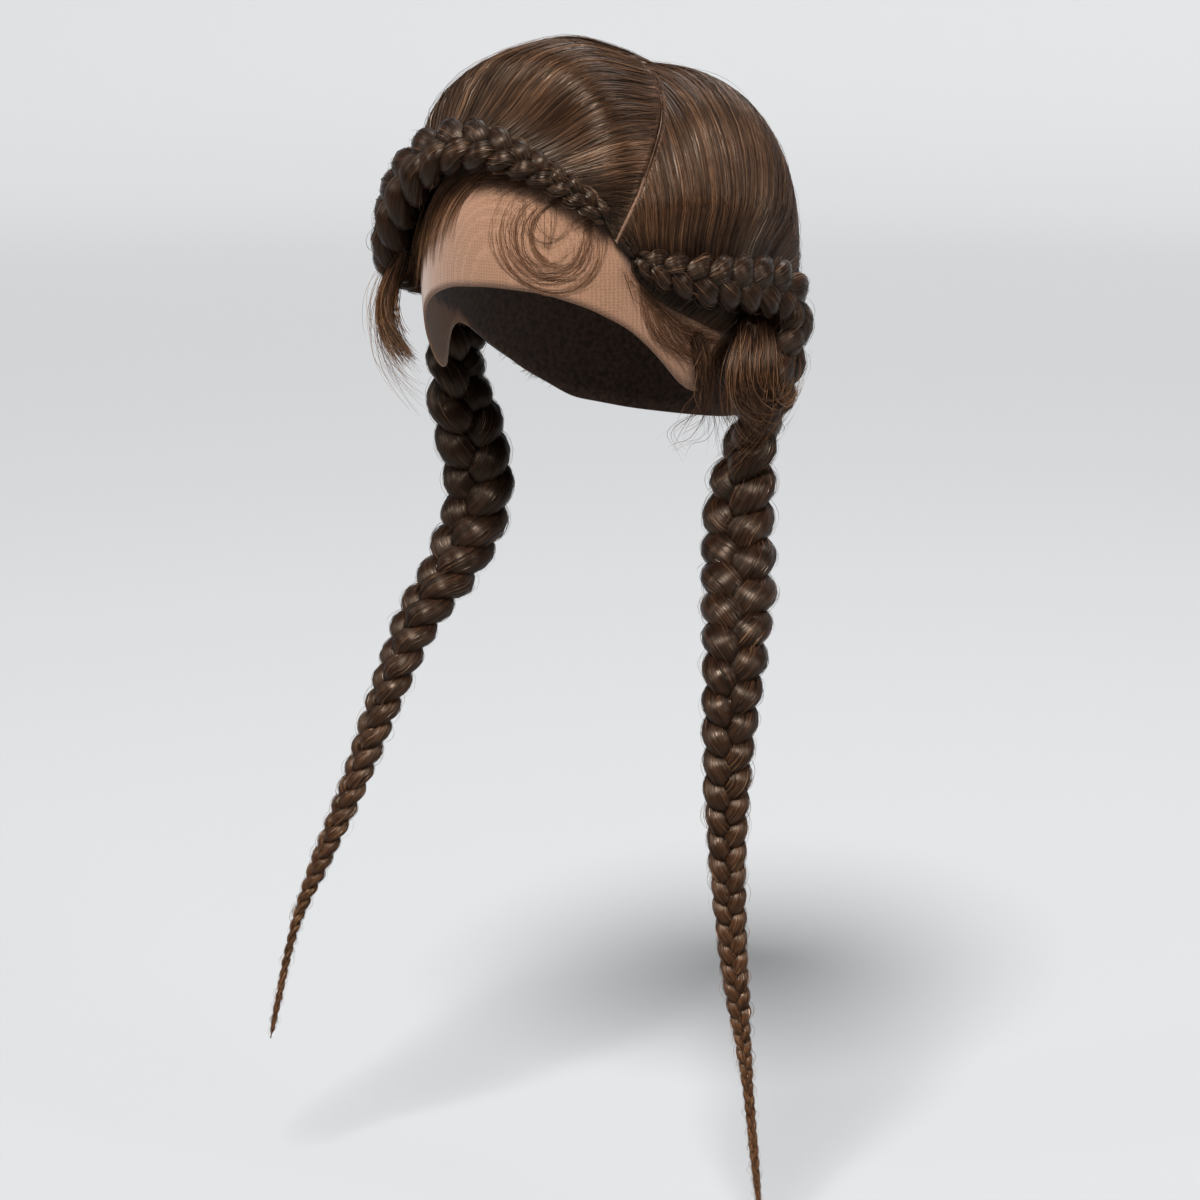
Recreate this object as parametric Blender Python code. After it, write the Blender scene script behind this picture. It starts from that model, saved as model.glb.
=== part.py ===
"""A lace-front wig with two plaits, as worn: lace cap, combed hair, two raised plaits and loose locks.

Metres, +Z up, the forehead towards -Y and the wearer's left towards +X. The origin is the inner top of the cap,
where the wearer's crown meets it. A way is a unit vector from the head's centre, and a place on the head is a way
and a distance out from the scalp. A side is +1 for the wearer's left and -1 for the right.
"""

import math
from collections import namedtuple

import bpy
from mathutils import Vector

# The head that the cap fits: a skull, widest at a level below its crown
HEAD_WIDTH = 0.156
HEAD_LENGTH = 0.198
CROWN_HEIGHT = 0.090
JAW_DEPTH = 0.125
CROWN_SQUARENESS = 2.5
JAW_SQUARENESS = 2.0

# The lace cap, the gap that any two pieces keep, and the room for flat facets on a round head
LACE_WALL = 0.0012
GAP = 0.0004
FACET_ROOM = 0.0018
SEAM = 0.0012

# The combed hair: full depth, depth where it is pulled tight, and the bare line of the parting
LEFT_HAIR_DEPTH = 0.0078
RIGHT_HAIR_DEPTH = 0.0165
HAIR_DEPTH = {1: LEFT_HAIR_DEPTH, -1: RIGHT_HAIR_DEPTH}
SIDE_DEPTH = 0.0060
TIGHT_DEPTH = 0.0032
PARTING = 0.0024
PARTING_RISE = 0.040
PARTING_SHARE = 0.45
PLAIT_RISE = 0.012
PLAIT_CLEARANCE = 0.0025
PLAIT_GAP = 0.0004
HAIR_EDGE_RISE = 0.010
NAPE_COLUMNS = 3

# The plaits: their widest, and how the three locks share the width and the thickness
PLAIT_WIDTH = 0.034
ROW_FLATNESS = 0.60
TAIL_FLATNESS = 0.70
LOCK_WIDTH_SHARE = 0.50
LOCK_DEPTH_SHARE = 0.56
LOBE_LENGTH = 0.0045
LOBE_GROWTH = 0.38
LOBE_RINGS = (-0.20, 0.20, 0.50)
PLAIT_SIDES = 12

# How far each plait's tail hangs below the head's widest level, stands out sideways and comes forward
LEFT_TAIL_DROP = 0.422
RIGHT_TAIL_DROP = 0.377
LEFT_TAIL_SPREAD = 0.128
RIGHT_TAIL_SPREAD = 0.130
LEFT_TAIL_REACH = 0.076
RIGHT_TAIL_REACH = 0.100
TAIL_DROP = {1: LEFT_TAIL_DROP, -1: RIGHT_TAIL_DROP}
TAIL_SPREAD = {1: LEFT_TAIL_SPREAD, -1: RIGHT_TAIL_SPREAD}
TAIL_REACH = {1: LEFT_TAIL_REACH, -1: RIGHT_TAIL_REACH}

# Loose locks: width and thickness
EAR_LOCK = (0.012, 0.007)
SIDEBURN = (0.008, 0.0024)
TEMPLE_LOCK = (0.009, 0.0045)

# The parting, from the front hairline over the crown and down to the nape
# bearing from the forehead and rise above the widest level, degrees
PARTING_LINE = (
    (33, 15),
    (39, 26),
    (44, 35),
    (49, 43),
    (55, 51),
    (62, 60),
    (78, 71),
    (150, 78),
    (178, 62),
    (180, 40),
    (180, 15),
    (180, -10),
    (180, -30),
    (180, -42),
)

# Where each plait lies on the head, from the parting to behind the ear
# bearing, rise in degrees, with the bearing counted towards the wearer's left
PLAIT_ROW = {
    1: (
        (38, 11),
        (43, 8.5),
        (50, 6),
        (58, 4),
        (67, 2.5),
        (78, 0.5),
        (88, -1.5),
        (97, -5),
        (102, -11.5),
        (102, -19.5),
        (98, -27),
    ),
    -1: (
        (30, 20),
        (24, 25),
        (15, 29.5),
        (5, 33),
        (-6, 35),
        (-17, 34),
        (-27, 29.5),
        (-36, 22),
        (-45, 14),
        (-57, 7),
        (-72, 2),
        (-86, -1.5),
        (-97, -5),
        (-102, -11.5),
        (-102, -19.5),
        (-98, -27),
    ),
}

# The hairline under each plait, from its start to behind the ear
# bearing, rise in degrees
HAIRLINE = {
    1: ((38, 7), (44, 0), (53, -6), (63, -11), (72, -15), (80, -17), (86, -19), (90, -22), (92, -25)),
    -1: ((-28, 22), (-40, 10), (-50, 1), (-60, -6), (-70, -13), (-80, -17), (-86, -19), (-90, -22), (-92, -25)),
}

# The lower edge of the lace, from the middle of the brow to the nape, on either side
# bearing, rise in degrees
LACE_EDGE = (
    (0, 2),
    (14, 1),
    (26, -3),
    (38, -10),
    (48, -20),
    (57, -30),
    (66, -34),
    (73, -28),
    (79, -22),
    (88, -22),
    (96, -27),
    (105, -32),
    (118, -39),
    (138, -46),
    (160, -47),
    (180, -47),
)

# How a plait fattens along the head, as shares of its length there and of the widest
# share of the row, share of the width
ROW_WIDTHS = {
    1: ((0.0, 0.27), (0.12, 0.48), (0.28, 0.66), (0.60, 0.80), (1.0, 0.97)),
    -1: ((0.0, 0.27), (0.11, 0.37), (0.20, 0.54), (0.29, 0.76), (0.37, 0.88), (0.5, 0.93), (1.0, 0.97)),
}

# How the tail tapers to its twisted tip, as shares of its length and of the widest
# share of the tail, share of the width
TAIL_WIDTHS = (
    (0.0, 0.97),
    (0.28, 1.0),
    (0.38, 0.82),
    (0.50, 0.61),
    (0.62, 0.45),
    (0.74, 0.33),
    (0.80, 0.21),
    (0.86, 0.125),
    (0.95, 0.10),
    (1.0, 0.045),
)

# Where each tail hangs, as shares of its spread, reach and drop, and the bearing that its outer face has
# out, forward, down, facing in degrees
TAIL_ROUTE = {
    1: (
        (0.66, -0.05, 0.145, 102),
        (0.605, -0.03, 0.195, 135),
        (0.60, 0.08, 0.265, 180),
        (0.66, 0.25, 0.313, 200),
        (0.72, 0.46, 0.358, 208),
        (0.77, 0.66, 0.408, 210),
        (0.80, 0.82, 0.490, 210),
        (0.82, 0.89, 0.593, 210),
        (0.86, 0.93, 0.711, 210),
        (0.93, 0.96, 0.848, 210),
        (1.0, 1.0, 1.0, 210),
    ),
    -1: (
        (0.65, -0.04, 0.162, 102),
        (0.59, -0.03, 0.225, 135),
        (0.535, 0.00, 0.310, 180),
        (0.565, 0.14, 0.385, 200),
        (0.63, 0.38, 0.460, 208),
        (0.69, 0.57, 0.560, 210),
        (0.77, 0.70, 0.671, 210),
        (0.865, 0.81, 0.769, 210),
        (0.945, 0.885, 0.857, 210),
        (1.0, 1.0, 1.0, 210),
    ),
}

# Loose locks hang from the hair at a bearing and rise, at a height off the scalp that follows the head's size
# bearing, rise in degrees, height off the scalp in lock widths, share of the full width
EAR_LOCK_ROUTE = (
    (82, -13, 0.74, 0.75),
    (79, -19, 0.90, 1.0),
    (76, -26, 0.95, 1.0),
    (76, -32, 0.95, 0.9),
    (79, -36, 1.05, 0.8),
    (83, -38, 1.35, 0.6),
)
SIDEBURN_ROUTE = (
    (61, -14, 0.27, 0.5),
    (63, -19, 0.33, 1.0),
    (65, -25, 0.33, 1.0),
    (67, -31, 0.33, 0.8),
    (68, -35, 0.30, 0.5),
    (69, -38, 0.28, 0.25),
)
TEMPLE_LOCK_ROUTE = (
    (-47, 2, 0.60, 0.5),
    (-47, -2, 1.2, 0.8),
    (-46, -7, 2.0, 1.0),
    (-46, -13, 2.2, 1.0),
    (-44, -19, 1.6, 0.8),
    (-42, -26, 0.9, 0.35),
)

# Each piece's colour, roughness and metallic value
HAIR_BROWN = (0.045, 0.024, 0.014, 1.0)
LOCK_BROWN = (0.085, 0.045, 0.024, 1.0)
LACE_TAN = (0.36, 0.20, 0.13, 1.0)
HAIR_ROUGHNESS = 0.42
LACE_ROUGHNESS = 0.85

Entry = namedtuple("Entry", "centre facing width depth under")
HEAD_CENTRE = Vector((0, 0, -CROWN_HEIGHT))
CROWN_SHARES = (0.0, 0.05, 0.12, 0.22, 0.35, 0.50, 0.64, 0.76, 0.84, 0.91, 0.96, 1.0)
SIDE_SHARES = (0.0, 0.12, 0.28, 0.48, 0.70, 1.0)
CROWN_COLUMNS = 18
SIDE_FROM = {1: 0, -1: 7}
LACE_ROWS = 7
TIP_FLOOR = 0.35
TAIL_START = 0.060
STEPS_PER_LOBE = 6
LEAN_LOBES = 4


def way_of(bearing, rise):
    """The unit vector from the head's centre at a bearing from the forehead and a rise above the widest level."""
    turn = math.radians(bearing)
    lift = math.radians(rise)
    return Vector((math.sin(turn) * math.cos(lift), -math.cos(turn) * math.cos(lift), math.sin(lift)))


def upright_of(way):
    """The half height and the squareness of the head's profile, above or below its widest level."""
    if way.z >= 0:
        return CROWN_HEIGHT, CROWN_SQUARENESS
    return JAW_DEPTH, JAW_SQUARENESS


def on_head(way, out):
    """The point that lies a distance out from the scalp, along the scalp's own normal."""
    height, squareness = upright_of(way)
    flat = math.hypot(way.x / (HEAD_WIDTH / 2), way.y / (HEAD_LENGTH / 2))
    tall = abs(way.z) / height
    scalp = way * (flat**squareness + tall**squareness) ** (-1 / squareness)
    return HEAD_CENTRE + scalp + normal_of(way) * out


def normal_of(way):
    """The scalp's outward normal where a way meets it."""
    height, squareness = upright_of(way)
    across, along = HEAD_WIDTH / 2, HEAD_LENGTH / 2
    flat = max(math.hypot(way.x / across, way.y / along), 1e-6)
    sideways = flat ** (squareness - 2)
    upward = math.copysign(abs(way.z) ** (squareness - 1) / height**squareness, way.z)
    return Vector((way.x / across**2 * sideways, way.y / along**2 * sideways, upward)).normalized()


def smooth_step(value):
    """0 below 0, 1 above 1, and a smooth rise between."""
    share = min(max(value, 0.0), 1.0)
    return share * share * (3 - 2 * share)


def table_value(rows, share):
    """The second column of a table at a share in its first, on a smooth rise between rows."""
    for (start, low), (end, high) in zip(rows, rows[1:]):
        if share <= end:
            return low + (high - low) * (share - start) / (end - start)
    return rows[-1][1]


def curve_through(points, pieces):
    """Points along a smooth Catmull-Rom curve, a number of pieces between each two given ones."""
    ends = [points[0] * 2 - points[1], *points, points[-1] * 2 - points[-2]]
    found = []
    for before, start, end, after in zip(ends, ends[1:], ends[2:], ends[3:]):
        for k in range(pieces):
            t = k / pieces
            bend = (before * 2 - start * 5 + end * 4 - after) * (t * t)
            twist = (start * 3 - before - end * 3 + after) * (t * t * t)
            found.append((start * 2 + (end - before) * t + bend + twist) / 2)
    return [*found, points[-1]]


def spread_evenly(points, shares, values=None):
    """What lies at shares of the length of a chain of points: the points, or other values given for each."""
    values = values or points
    runs = [0.0]
    for start, end in zip(points, points[1:]):
        runs.append(runs[-1] + (end - start).length)
    found = []
    k = 0
    for share in shares:
        wanted = share * runs[-1]
        while k < len(points) - 2 and runs[k + 1] < wanted:
            k += 1
        part = (wanted - runs[k]) / max(runs[k + 1] - runs[k], 1e-9)
        found.append(values[k].lerp(values[k + 1], min(max(part, 0.0), 1.0)))
    return found


def ways_along(line, count):
    """Evenly spaced ways along a line of bearings and rises on the head."""
    chain = [way.normalized() for way in curve_through([way_of(*row) for row in line], 8)]
    scalp = [on_head(way, 0) for way in chain]
    shares = [k / (count - 1) for k in range(count)]
    return [(point - HEAD_CENTRE).normalized() for point in spread_evenly(scalp, shares)]


def material(name, colour, roughness):
    made = bpy.data.materials.new(name)
    made.use_nodes = True
    shader = made.node_tree.nodes["Principled BSDF"]
    shader.inputs["Base Color"].default_value = colour
    shader.inputs["Roughness"].default_value = roughness
    shader.inputs["Metallic"].default_value = 0.0
    made.diffuse_color = colour
    return made


def add_piece(name, points, faces, look):
    """A named object from points and faces, shaded smooth."""
    mesh = bpy.data.meshes.new(name)
    mesh.from_pydata([tuple(point) for point in points], [], faces)
    mesh.materials.append(look)
    mesh.shade_smooth()
    mesh.set_sharp_from_angle(angle=math.radians(50))
    piece = bpy.data.objects.new(name, mesh)
    bpy.context.scene.collection.objects.link(piece)
    return piece


def add_tube(name, rings, look):
    """A closed tube through rings of points, each as many as the last and turning the same way."""
    sides = len(rings[0])
    points = [point for ring in rings for point in ring]
    faces = [tuple(range(sides - 1, -1, -1))]
    for k in range(len(rings) - 1):
        for j in range(sides):
            after = (j + 1) % sides
            faces.append((k * sides + j, k * sides + after, (k + 1) * sides + after, (k + 1) * sides + j))
    last = (len(rings) - 1) * sides
    faces.append(tuple(range(last, last + sides)))
    return add_piece(name, points, faces, look)


def add_wall(name, outer, inner, look, closed_round=False):
    """A closed wall between two grids of points, as columns that run down from the top.

    With closed_round the last column meets the first, and all columns share their top point.
    """
    columns, rows = len(outer), len(outer[0])
    grids = [point for grid in (outer, inner) for column in grid for point in column]
    inside = columns * rows
    faces = []
    for k in range(columns if closed_round else columns - 1):
        here, beside = k * rows, (k + 1) % columns * rows
        for j in range(rows - 1):
            if closed_round and j == 0:
                faces.append((0, here + 1, beside + 1))
                faces.append((inside, inside + beside + 1, inside + here + 1))
                continue
            square = (here + j, here + j + 1, beside + j + 1, beside + j)
            faces.append(square)
            faces.append(tuple(inside + corner for corner in reversed(square)))
        foot, foot_beside = here + rows - 1, beside + rows - 1
        faces.append((foot, inside + foot, inside + foot_beside, foot_beside))
        if not closed_round:
            faces.append((beside, inside + beside, inside + here, here))
    if not closed_round:
        for j in range(rows - 1):
            faces.append((j, inside + j, inside + j + 1, j + 1))
            end = (columns - 1) * rows + j
            faces.append((end + 1, inside + end + 1, inside + end, end))
    piece = add_piece(name, grids, faces, look)
    drop_loose_points(piece.data)
    return piece


def drop_loose_points(mesh):
    """Removes the points that no face uses."""
    used = {corner for face in mesh.polygons for corner in face.vertices}
    order = {old: new for new, old in enumerate(sorted(used))}
    points = [tuple(mesh.vertices[old].co) for old in sorted(used)]
    faces = [tuple(order[corner] for corner in face.vertices) for face in mesh.polygons]
    looks = list(mesh.materials)
    mesh.clear_geometry()
    mesh.from_pydata(points, [], faces)
    for look in looks:
        if look.name not in mesh.materials:
            mesh.materials.append(look)
    mesh.shade_smooth()
    mesh.set_sharp_from_angle(angle=math.radians(50))


def add_lace_cap(look):
    """The cap of lace: forehead, temples, ear notches and nape, closed over the crown."""
    table = [(bearing, rise) for bearing, rise in LACE_EDGE]
    table += [(360 - bearing, rise) for bearing, rise in reversed(LACE_EDGE[1:-1])]
    edge = [way_of(*row) for row in table]
    top = Vector((0, 0, 1))
    outer, inner = [], []
    for foot in edge:
        ways = [top.slerp(foot, j / LACE_ROWS) for j in range(LACE_ROWS + 1)]
        outer.append([on_head(way, LACE_WALL) for way in ways])
        inner.append([on_head(way, 0) for way in ways])
    return add_wall("lace_cap", outer, inner, look, closed_round=True)


def row_width(side, share):
    """The width of a plait at a share of its length along the head."""
    return PLAIT_WIDTH * table_value(ROW_WIDTHS[side], share)


def hair_rise(side, part_distance, plait_distance):
    """How far the combed hair rises above its tight depth: not at the parting, nor under the plait."""
    from_parting = PARTING_SHARE + (1 - PARTING_SHARE) * smooth_step(part_distance / PARTING_RISE)
    from_plait = smooth_step(plait_distance / PLAIT_RISE)
    return (HAIR_DEPTH[side] - TIGHT_DEPTH) * from_parting * from_plait


def distance_beside(point, spine):
    """How far a point of the scalp lies beside the strip that the plait covers."""
    return min((point - entry.under).length - entry.width / 2 for entry in spine) - PLAIT_CLEARANCE


def add_crown_hair(name, side, spine, look):
    """The hair combed from the parting to one plait, a shell over the lace."""
    parting = ways_along(PARTING_LINE, CROWN_COLUMNS)
    row = ways_along(PLAIT_ROW[side], CROWN_COLUMNS)
    base = LACE_WALL + GAP
    outer, inner = [], []
    for k, (start, end) in enumerate(zip(parting, row)):
        run = (on_head(start, 0) - on_head(end, 0)).length
        from_nape = smooth_step((CROWN_COLUMNS - 1 - k) / NAPE_COLUMNS)
        skip_start = min(PARTING / 2 / run, 0.25)
        skip_end = min(SEAM / 2 / run, 0.1)
        outer_column, inner_column = [], []
        for share in CROWN_SHARES:
            at = skip_start + (1 - skip_start - skip_end) * share
            way = start.slerp(end, at)
            beside = distance_beside(on_head(way, 0), spine)
            depth = TIGHT_DEPTH + hair_rise(side, at * run, beside) * from_nape
            outer_column.append(on_head(way, base + depth))
            inner_column.append(on_head(way, base + FACET_ROOM))
        outer.append(outer_column)
        inner.append(inner_column)
    if side < 0:
        outer, inner = outer[::-1], inner[::-1]
    return add_wall(name, outer, inner, look)


def add_side_hair(name, side, spine, look):
    """The hair swept up from the hairline over the ear into one plait."""
    row = ways_along(PLAIT_ROW[side], CROWN_COLUMNS)[SIDE_FROM[side] : -1]
    hairline = ways_along(HAIRLINE[side], len(row))
    base = LACE_WALL + GAP
    outer, inner = [], []
    for start, end in zip(row, hairline):
        run = (on_head(start, 0) - on_head(end, 0)).length
        skip = min(SEAM / 2 / run, 0.2)
        outer_column, inner_column = [], []
        for share in SIDE_SHARES:
            at = skip + (1 - skip) * share
            way = start.slerp(end, at)
            from_plait = smooth_step(distance_beside(on_head(way, 0), spine) / PLAIT_RISE)
            from_edge = smooth_step((1 - at) * run / HAIR_EDGE_RISE)
            depth = TIGHT_DEPTH + (SIDE_DEPTH - TIGHT_DEPTH) * from_plait * from_edge
            outer_column.append(on_head(way, base + depth))
            inner_column.append(on_head(way, base + FACET_ROOM))
        outer.append(outer_column)
        inner.append(inner_column)
    if side < 0:
        outer, inner = outer[::-1], inner[::-1]
    return add_wall(name, outer, inner, look)


def plait_spine(side):
    """The plait from the parting to its tip, as entries that are each a set share of a lobe apart.

    An entry has the centre, the way that the outer face looks, the width, and the point of the scalp beneath.
    """
    count = len(PLAIT_ROW[side]) * 3
    seat = LACE_WALL + GAP + TIGHT_DEPTH + PLAIT_GAP
    points, facings = [], []
    for k, way in enumerate(ways_along(PLAIT_ROW[side], count)):
        half_depth = row_width(side, k / (count - 1)) * ROW_FLATNESS / 2
        points.append(on_head(way, seat + half_depth))
        facings.append(normal_of(way))
    row_length = sum((end - start).length for start, end in zip(points, points[1:]))
    for out, forward, down, facing in TAIL_ROUTE[side]:
        place = Vector((side * out * TAIL_SPREAD[side], -forward * TAIL_REACH[side], -down * TAIL_DROP[side]))
        points.append(HEAD_CENTRE + place)
        facings.append(way_of(side * facing, 0))
    points, facings = curve_through(points, 6), curve_through(facings, 6)
    length = sum((end - start).length for start, end in zip(points, points[1:]))
    runs = [0.0]
    while runs[-1] < length:
        runs.append(runs[-1] + lobe_length(spine_width(side, runs[-1], row_length, length)) / STEPS_PER_LOBE)
    shares = [run / runs[-1] for run in runs]
    centres = spread_evenly(points, shares)
    outward = spread_evenly(points, shares, facings)
    spine = []
    for share, centre, facing in zip(shares, centres, outward):
        width = spine_width(side, share * length, row_length, length)
        off_head = smooth_step((share * length - row_length) / TAIL_START)
        depth = width * (ROW_FLATNESS + (TAIL_FLATNESS - ROW_FLATNESS) * off_head)
        under = centre - facing.normalized() * (seat + depth / 2)
        spine.append(Entry(centre, facing.normalized(), width, depth, under))
    return spine


def spine_width(side, run, row_length, length):
    """The plait's width at a run along it."""
    if run < row_length:
        return row_width(side, run / row_length)
    return PLAIT_WIDTH * table_value(TAIL_WIDTHS, (run - row_length) / (length - row_length))


def lobe_length(width):
    """The distance along the plait from one lobe to the next on the same side."""
    return LOBE_LENGTH + LOBE_GROWTH * width


def plait_reach(angle, phase, width, depth):
    """How far the three locks reach from the plait's centre line in one direction across it."""
    half_width, half_depth = LOCK_WIDTH_SHARE * width / 2, LOCK_DEPTH_SHARE * depth / 2
    swing, weave = width / 2 - half_width, depth / 2 - half_depth
    across, outward = math.cos(angle) / half_width, math.sin(angle) / half_depth
    reach = TIP_FLOOR * depth / 2
    for lock in range(3):
        turn = phase + lock * math.tau / 3
        x, y = swing * math.sin(turn) / half_width, weave * math.sin(2 * turn) / half_depth
        a, b, c = across**2 + outward**2, across * x + outward * y, x * x + y * y - 1
        if b * b >= a * c:
            reach = max(reach, (b + math.sqrt(b * b - a * c)) / a)
    return reach


def ridge_phase(angle):
    """The phase at which a lock's ridge crosses one direction across the plait, so that rings follow the locks."""
    sideways = abs(math.cos(angle)) / math.hypot(math.cos(angle), math.sin(angle) / TAIL_FLATNESS)
    climb = math.asin(min(sideways / (1 - LOCK_WIDTH_SHARE), 1.0))
    if abs(math.cos(angle)) < 1e-6:
        return math.pi / 6 if math.sin(angle) > 0 else math.pi * 7 / 6
    if math.cos(angle) > 0:
        return climb if math.sin(angle) >= 0 else math.pi - climb
    return math.pi / 3 + climb if math.sin(angle) >= 0 else math.pi * 4 / 3 - climb


def spine_place(spine, place):
    """The plait's entry at a place that is counted in entries, and the direction that the plait runs there."""
    k = min(max(int(place), 0), len(spine) - 2)
    part = min(max(place - k, 0.0), 1.0)
    before, here, ahead, after = (spine[min(max(k + step, 0), len(spine) - 1)] for step in (-1, 0, 1, 2))
    along = (ahead.centre - before.centre).lerp(after.centre - here.centre, part).normalized()
    centre = here.centre.lerp(ahead.centre, part)
    width = here.width + (ahead.width - here.width) * part
    depth = here.depth + (ahead.depth - here.depth) * part
    return Entry(centre, here.facing.lerp(ahead.facing, part), width, depth, here.under), along


def add_plait(name, spine, look):
    """One plait of three locks, raised along the head and then hanging free to its twisted tip.

    A ring leans along the locks: it meets each direction across the plait where a lock's ridge or crease does.
    """
    lobes = (len(spine) - 1) / STEPS_PER_LOBE
    starts = [0.0]
    starts += [lobe + share for lobe in range(1, int(lobes)) for share in LOBE_RINGS if lobe + share < lobes - 0.3]
    rings = []
    for start in [*starts, lobes]:
        lean = smooth_step(start / LEAN_LOBES) * smooth_step((lobes - start) / LEAN_LOBES)
        ring = []
        for j in range(PLAIT_SIDES):
            angle = -math.tau * j / PLAIT_SIDES
            phase = start * math.tau / 3 + ridge_phase(angle) * lean
            entry, along = spine_place(spine, phase * 3 / math.tau * STEPS_PER_LOBE)
            outward = (entry.facing - along * entry.facing.dot(along)).normalized()
            across = along.cross(outward)
            reach = plait_reach(angle, phase, entry.width, entry.depth)
            ring.append(entry.centre + (across * math.cos(angle) + outward * math.sin(angle)) * reach)
        rings.append(ring)
    return add_tube(name, rings, look)


def add_lock(name, route, size, look, sides=8, pieces=3):
    """A loose lock of hair: a flattened tube along a route over the head."""
    width, depth = size
    places = [on_head(way_of(bearing, rise), height * width) for bearing, rise, height, _ in route]
    outs = [normal_of(way_of(bearing, rise)) for bearing, rise, _, _ in route]
    sizes = [Vector((share, 0, 0)) for _, _, _, share in route]
    points, outs, sizes = (curve_through(each, pieces) for each in (places, outs, sizes))
    rings = []
    for k, centre in enumerate(points):
        along = (points[min(k + 1, len(points) - 1)] - points[max(k - 1, 0)]).normalized()
        outward = (outs[k] - along * outs[k].dot(along)).normalized()
        across = along.cross(outward)
        half_width, half_depth = width * sizes[k].x / 2, depth * sizes[k].x / 2
        ring = []
        for j in range(sides):
            angle = -math.tau * j / sides
            ring.append(centre + across * (half_width * math.cos(angle)) + outward * (half_depth * math.sin(angle)))
        rings.append(ring)
    return add_tube(name, rings, look)


def main():
    for old in list(bpy.data.objects):
        bpy.data.objects.remove(old)
    hair = material("hair", HAIR_BROWN, HAIR_ROUGHNESS)
    lock = material("loose_hair", LOCK_BROWN, HAIR_ROUGHNESS)
    lace = material("lace", LACE_TAN, LACE_ROUGHNESS)
    add_lace_cap(lace)
    for side, name in ((1, "left"), (-1, "right")):
        spine = plait_spine(side)
        add_crown_hair(f"crown_hair_{name}", side, spine, hair)
        add_side_hair(f"side_hair_{name}", side, spine, hair)
        add_plait(f"plait_{name}", spine, hair)
    add_lock("ear_lock_left", EAR_LOCK_ROUTE, EAR_LOCK, lock)
    add_lock("sideburn_left", SIDEBURN_ROUTE, SIDEBURN, lock)
    add_lock("temple_lock_right", TEMPLE_LOCK_ROUTE, TEMPLE_LOCK, lock)


main()
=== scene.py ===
"""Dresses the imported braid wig: net, combed hair, plaits of three locks, loose strands, light and camera."""

import math

import bpy
import numpy as np
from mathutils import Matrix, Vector


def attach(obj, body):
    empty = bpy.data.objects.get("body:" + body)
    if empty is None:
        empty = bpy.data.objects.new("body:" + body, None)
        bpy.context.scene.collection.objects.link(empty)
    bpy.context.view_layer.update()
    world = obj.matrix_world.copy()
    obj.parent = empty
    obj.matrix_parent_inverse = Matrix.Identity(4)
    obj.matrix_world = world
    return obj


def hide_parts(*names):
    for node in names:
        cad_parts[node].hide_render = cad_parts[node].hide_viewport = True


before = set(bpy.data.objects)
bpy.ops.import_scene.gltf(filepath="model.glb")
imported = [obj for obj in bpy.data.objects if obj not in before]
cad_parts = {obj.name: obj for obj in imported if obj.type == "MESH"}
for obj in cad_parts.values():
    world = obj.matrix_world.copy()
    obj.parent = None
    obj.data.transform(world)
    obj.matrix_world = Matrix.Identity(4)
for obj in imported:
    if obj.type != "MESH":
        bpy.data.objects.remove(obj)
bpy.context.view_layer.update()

FLOW = "OFBake"

# The photograph's camera: degrees round from the front and above the level, metres, millimetres
VIEW_TURN = 30.0
VIEW_RISE = 13.0
VIEW_DISTANCE = 1.8
VIEW_LENS = 112.0
SENSOR = 36
VIEW_TARGET = (-0.001, -0.0005, -0.251)
FLOOR = -0.535

# The head and the cap, as in the part's source, metres
HEAD_WIDTH = 0.156
HEAD_LENGTH = 0.198
CROWN_HEIGHT = 0.090
JAW_DEPTH = 0.125
CROWN_SQUARENESS = 2.5
JAW_SQUARENESS = 2.0
LACE_WALL = 0.0010
LACE_EDGE_ROWS = 40

# The combed hair
HAIR_DEPTH = {1: 0.0085, -1: 0.0170}
SIDE_DEPTH = 0.0062
TIGHT_DEPTH = 0.0034
PARTING = {1: 0.0006, -1: 0.0006}
PARTING_RISE = 0.040
PARTING_SHARE = 0.36
PLAIT_RISE = {1: 0.026, -1: 0.040}
HAIR_EDGE_RISE = 0.010
NAPE_SHARE = 0.18

# The plaits
PLAIT_WIDTH = 0.034
ROW_FLATNESS = 0.60
TAIL_FLATNESS = 0.70
LOBE_LENGTH = 0.0045
LOBE_GROWTH = 0.38
LOCK_HALF_WIDTH = 0.252
LOCK_HALF_DEPTH = 0.290
LOCK_PLUMP = 0.10
SEAT = 0.0052
TAIL_START = 0.060
TAIL_DROP = {1: 0.422, -1: 0.377}
TAIL_SPREAD = {1: 0.128, -1: 0.130}
TAIL_REACH = {1: 0.076, -1: 0.100}

# bearing from the forehead and rise above the widest level, degrees
PARTING_LINE = (
    (33, 15), (39, 26), (44, 35), (49, 43), (55, 51), (62, 60), (78, 71), (150, 78),
    (178, 62), (180, 40), (180, 15), (180, -10), (180, -30), (180, -42),
)
PLAIT_ROW = {
    1: (
        (38, 11), (43, 8.5), (50, 6), (58, 4), (67, 2.5), (78, 0.5), (88, -1.5),
        (97, -5), (102, -11.5), (102, -19.5), (98, -27),
    ),
    -1: (
        (30, 20), (24, 25), (15, 29.5), (5, 33), (-6, 35), (-17, 34), (-27, 29.5), (-36, 22),
        (-45, 14), (-57, 7), (-72, 2), (-86, -1.5), (-97, -5), (-102, -11.5), (-102, -19.5), (-98, -27),
    ),
}
HAIRLINE = {
    1: ((38, 7), (44, 0), (53, -6), (63, -11), (72, -15), (80, -17), (86, -19), (90, -22), (92, -25)),
    -1: (
        (-28, 22), (-40, 10), (-50, 1), (-60, -6), (-70, -13),
        (-80, -17), (-86, -19), (-90, -22), (-92, -25),
    ),
}
SIDE_FROM = {1: 0.0, -1: 7 / 17}
SIDE_TO = 16 / 17
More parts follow.
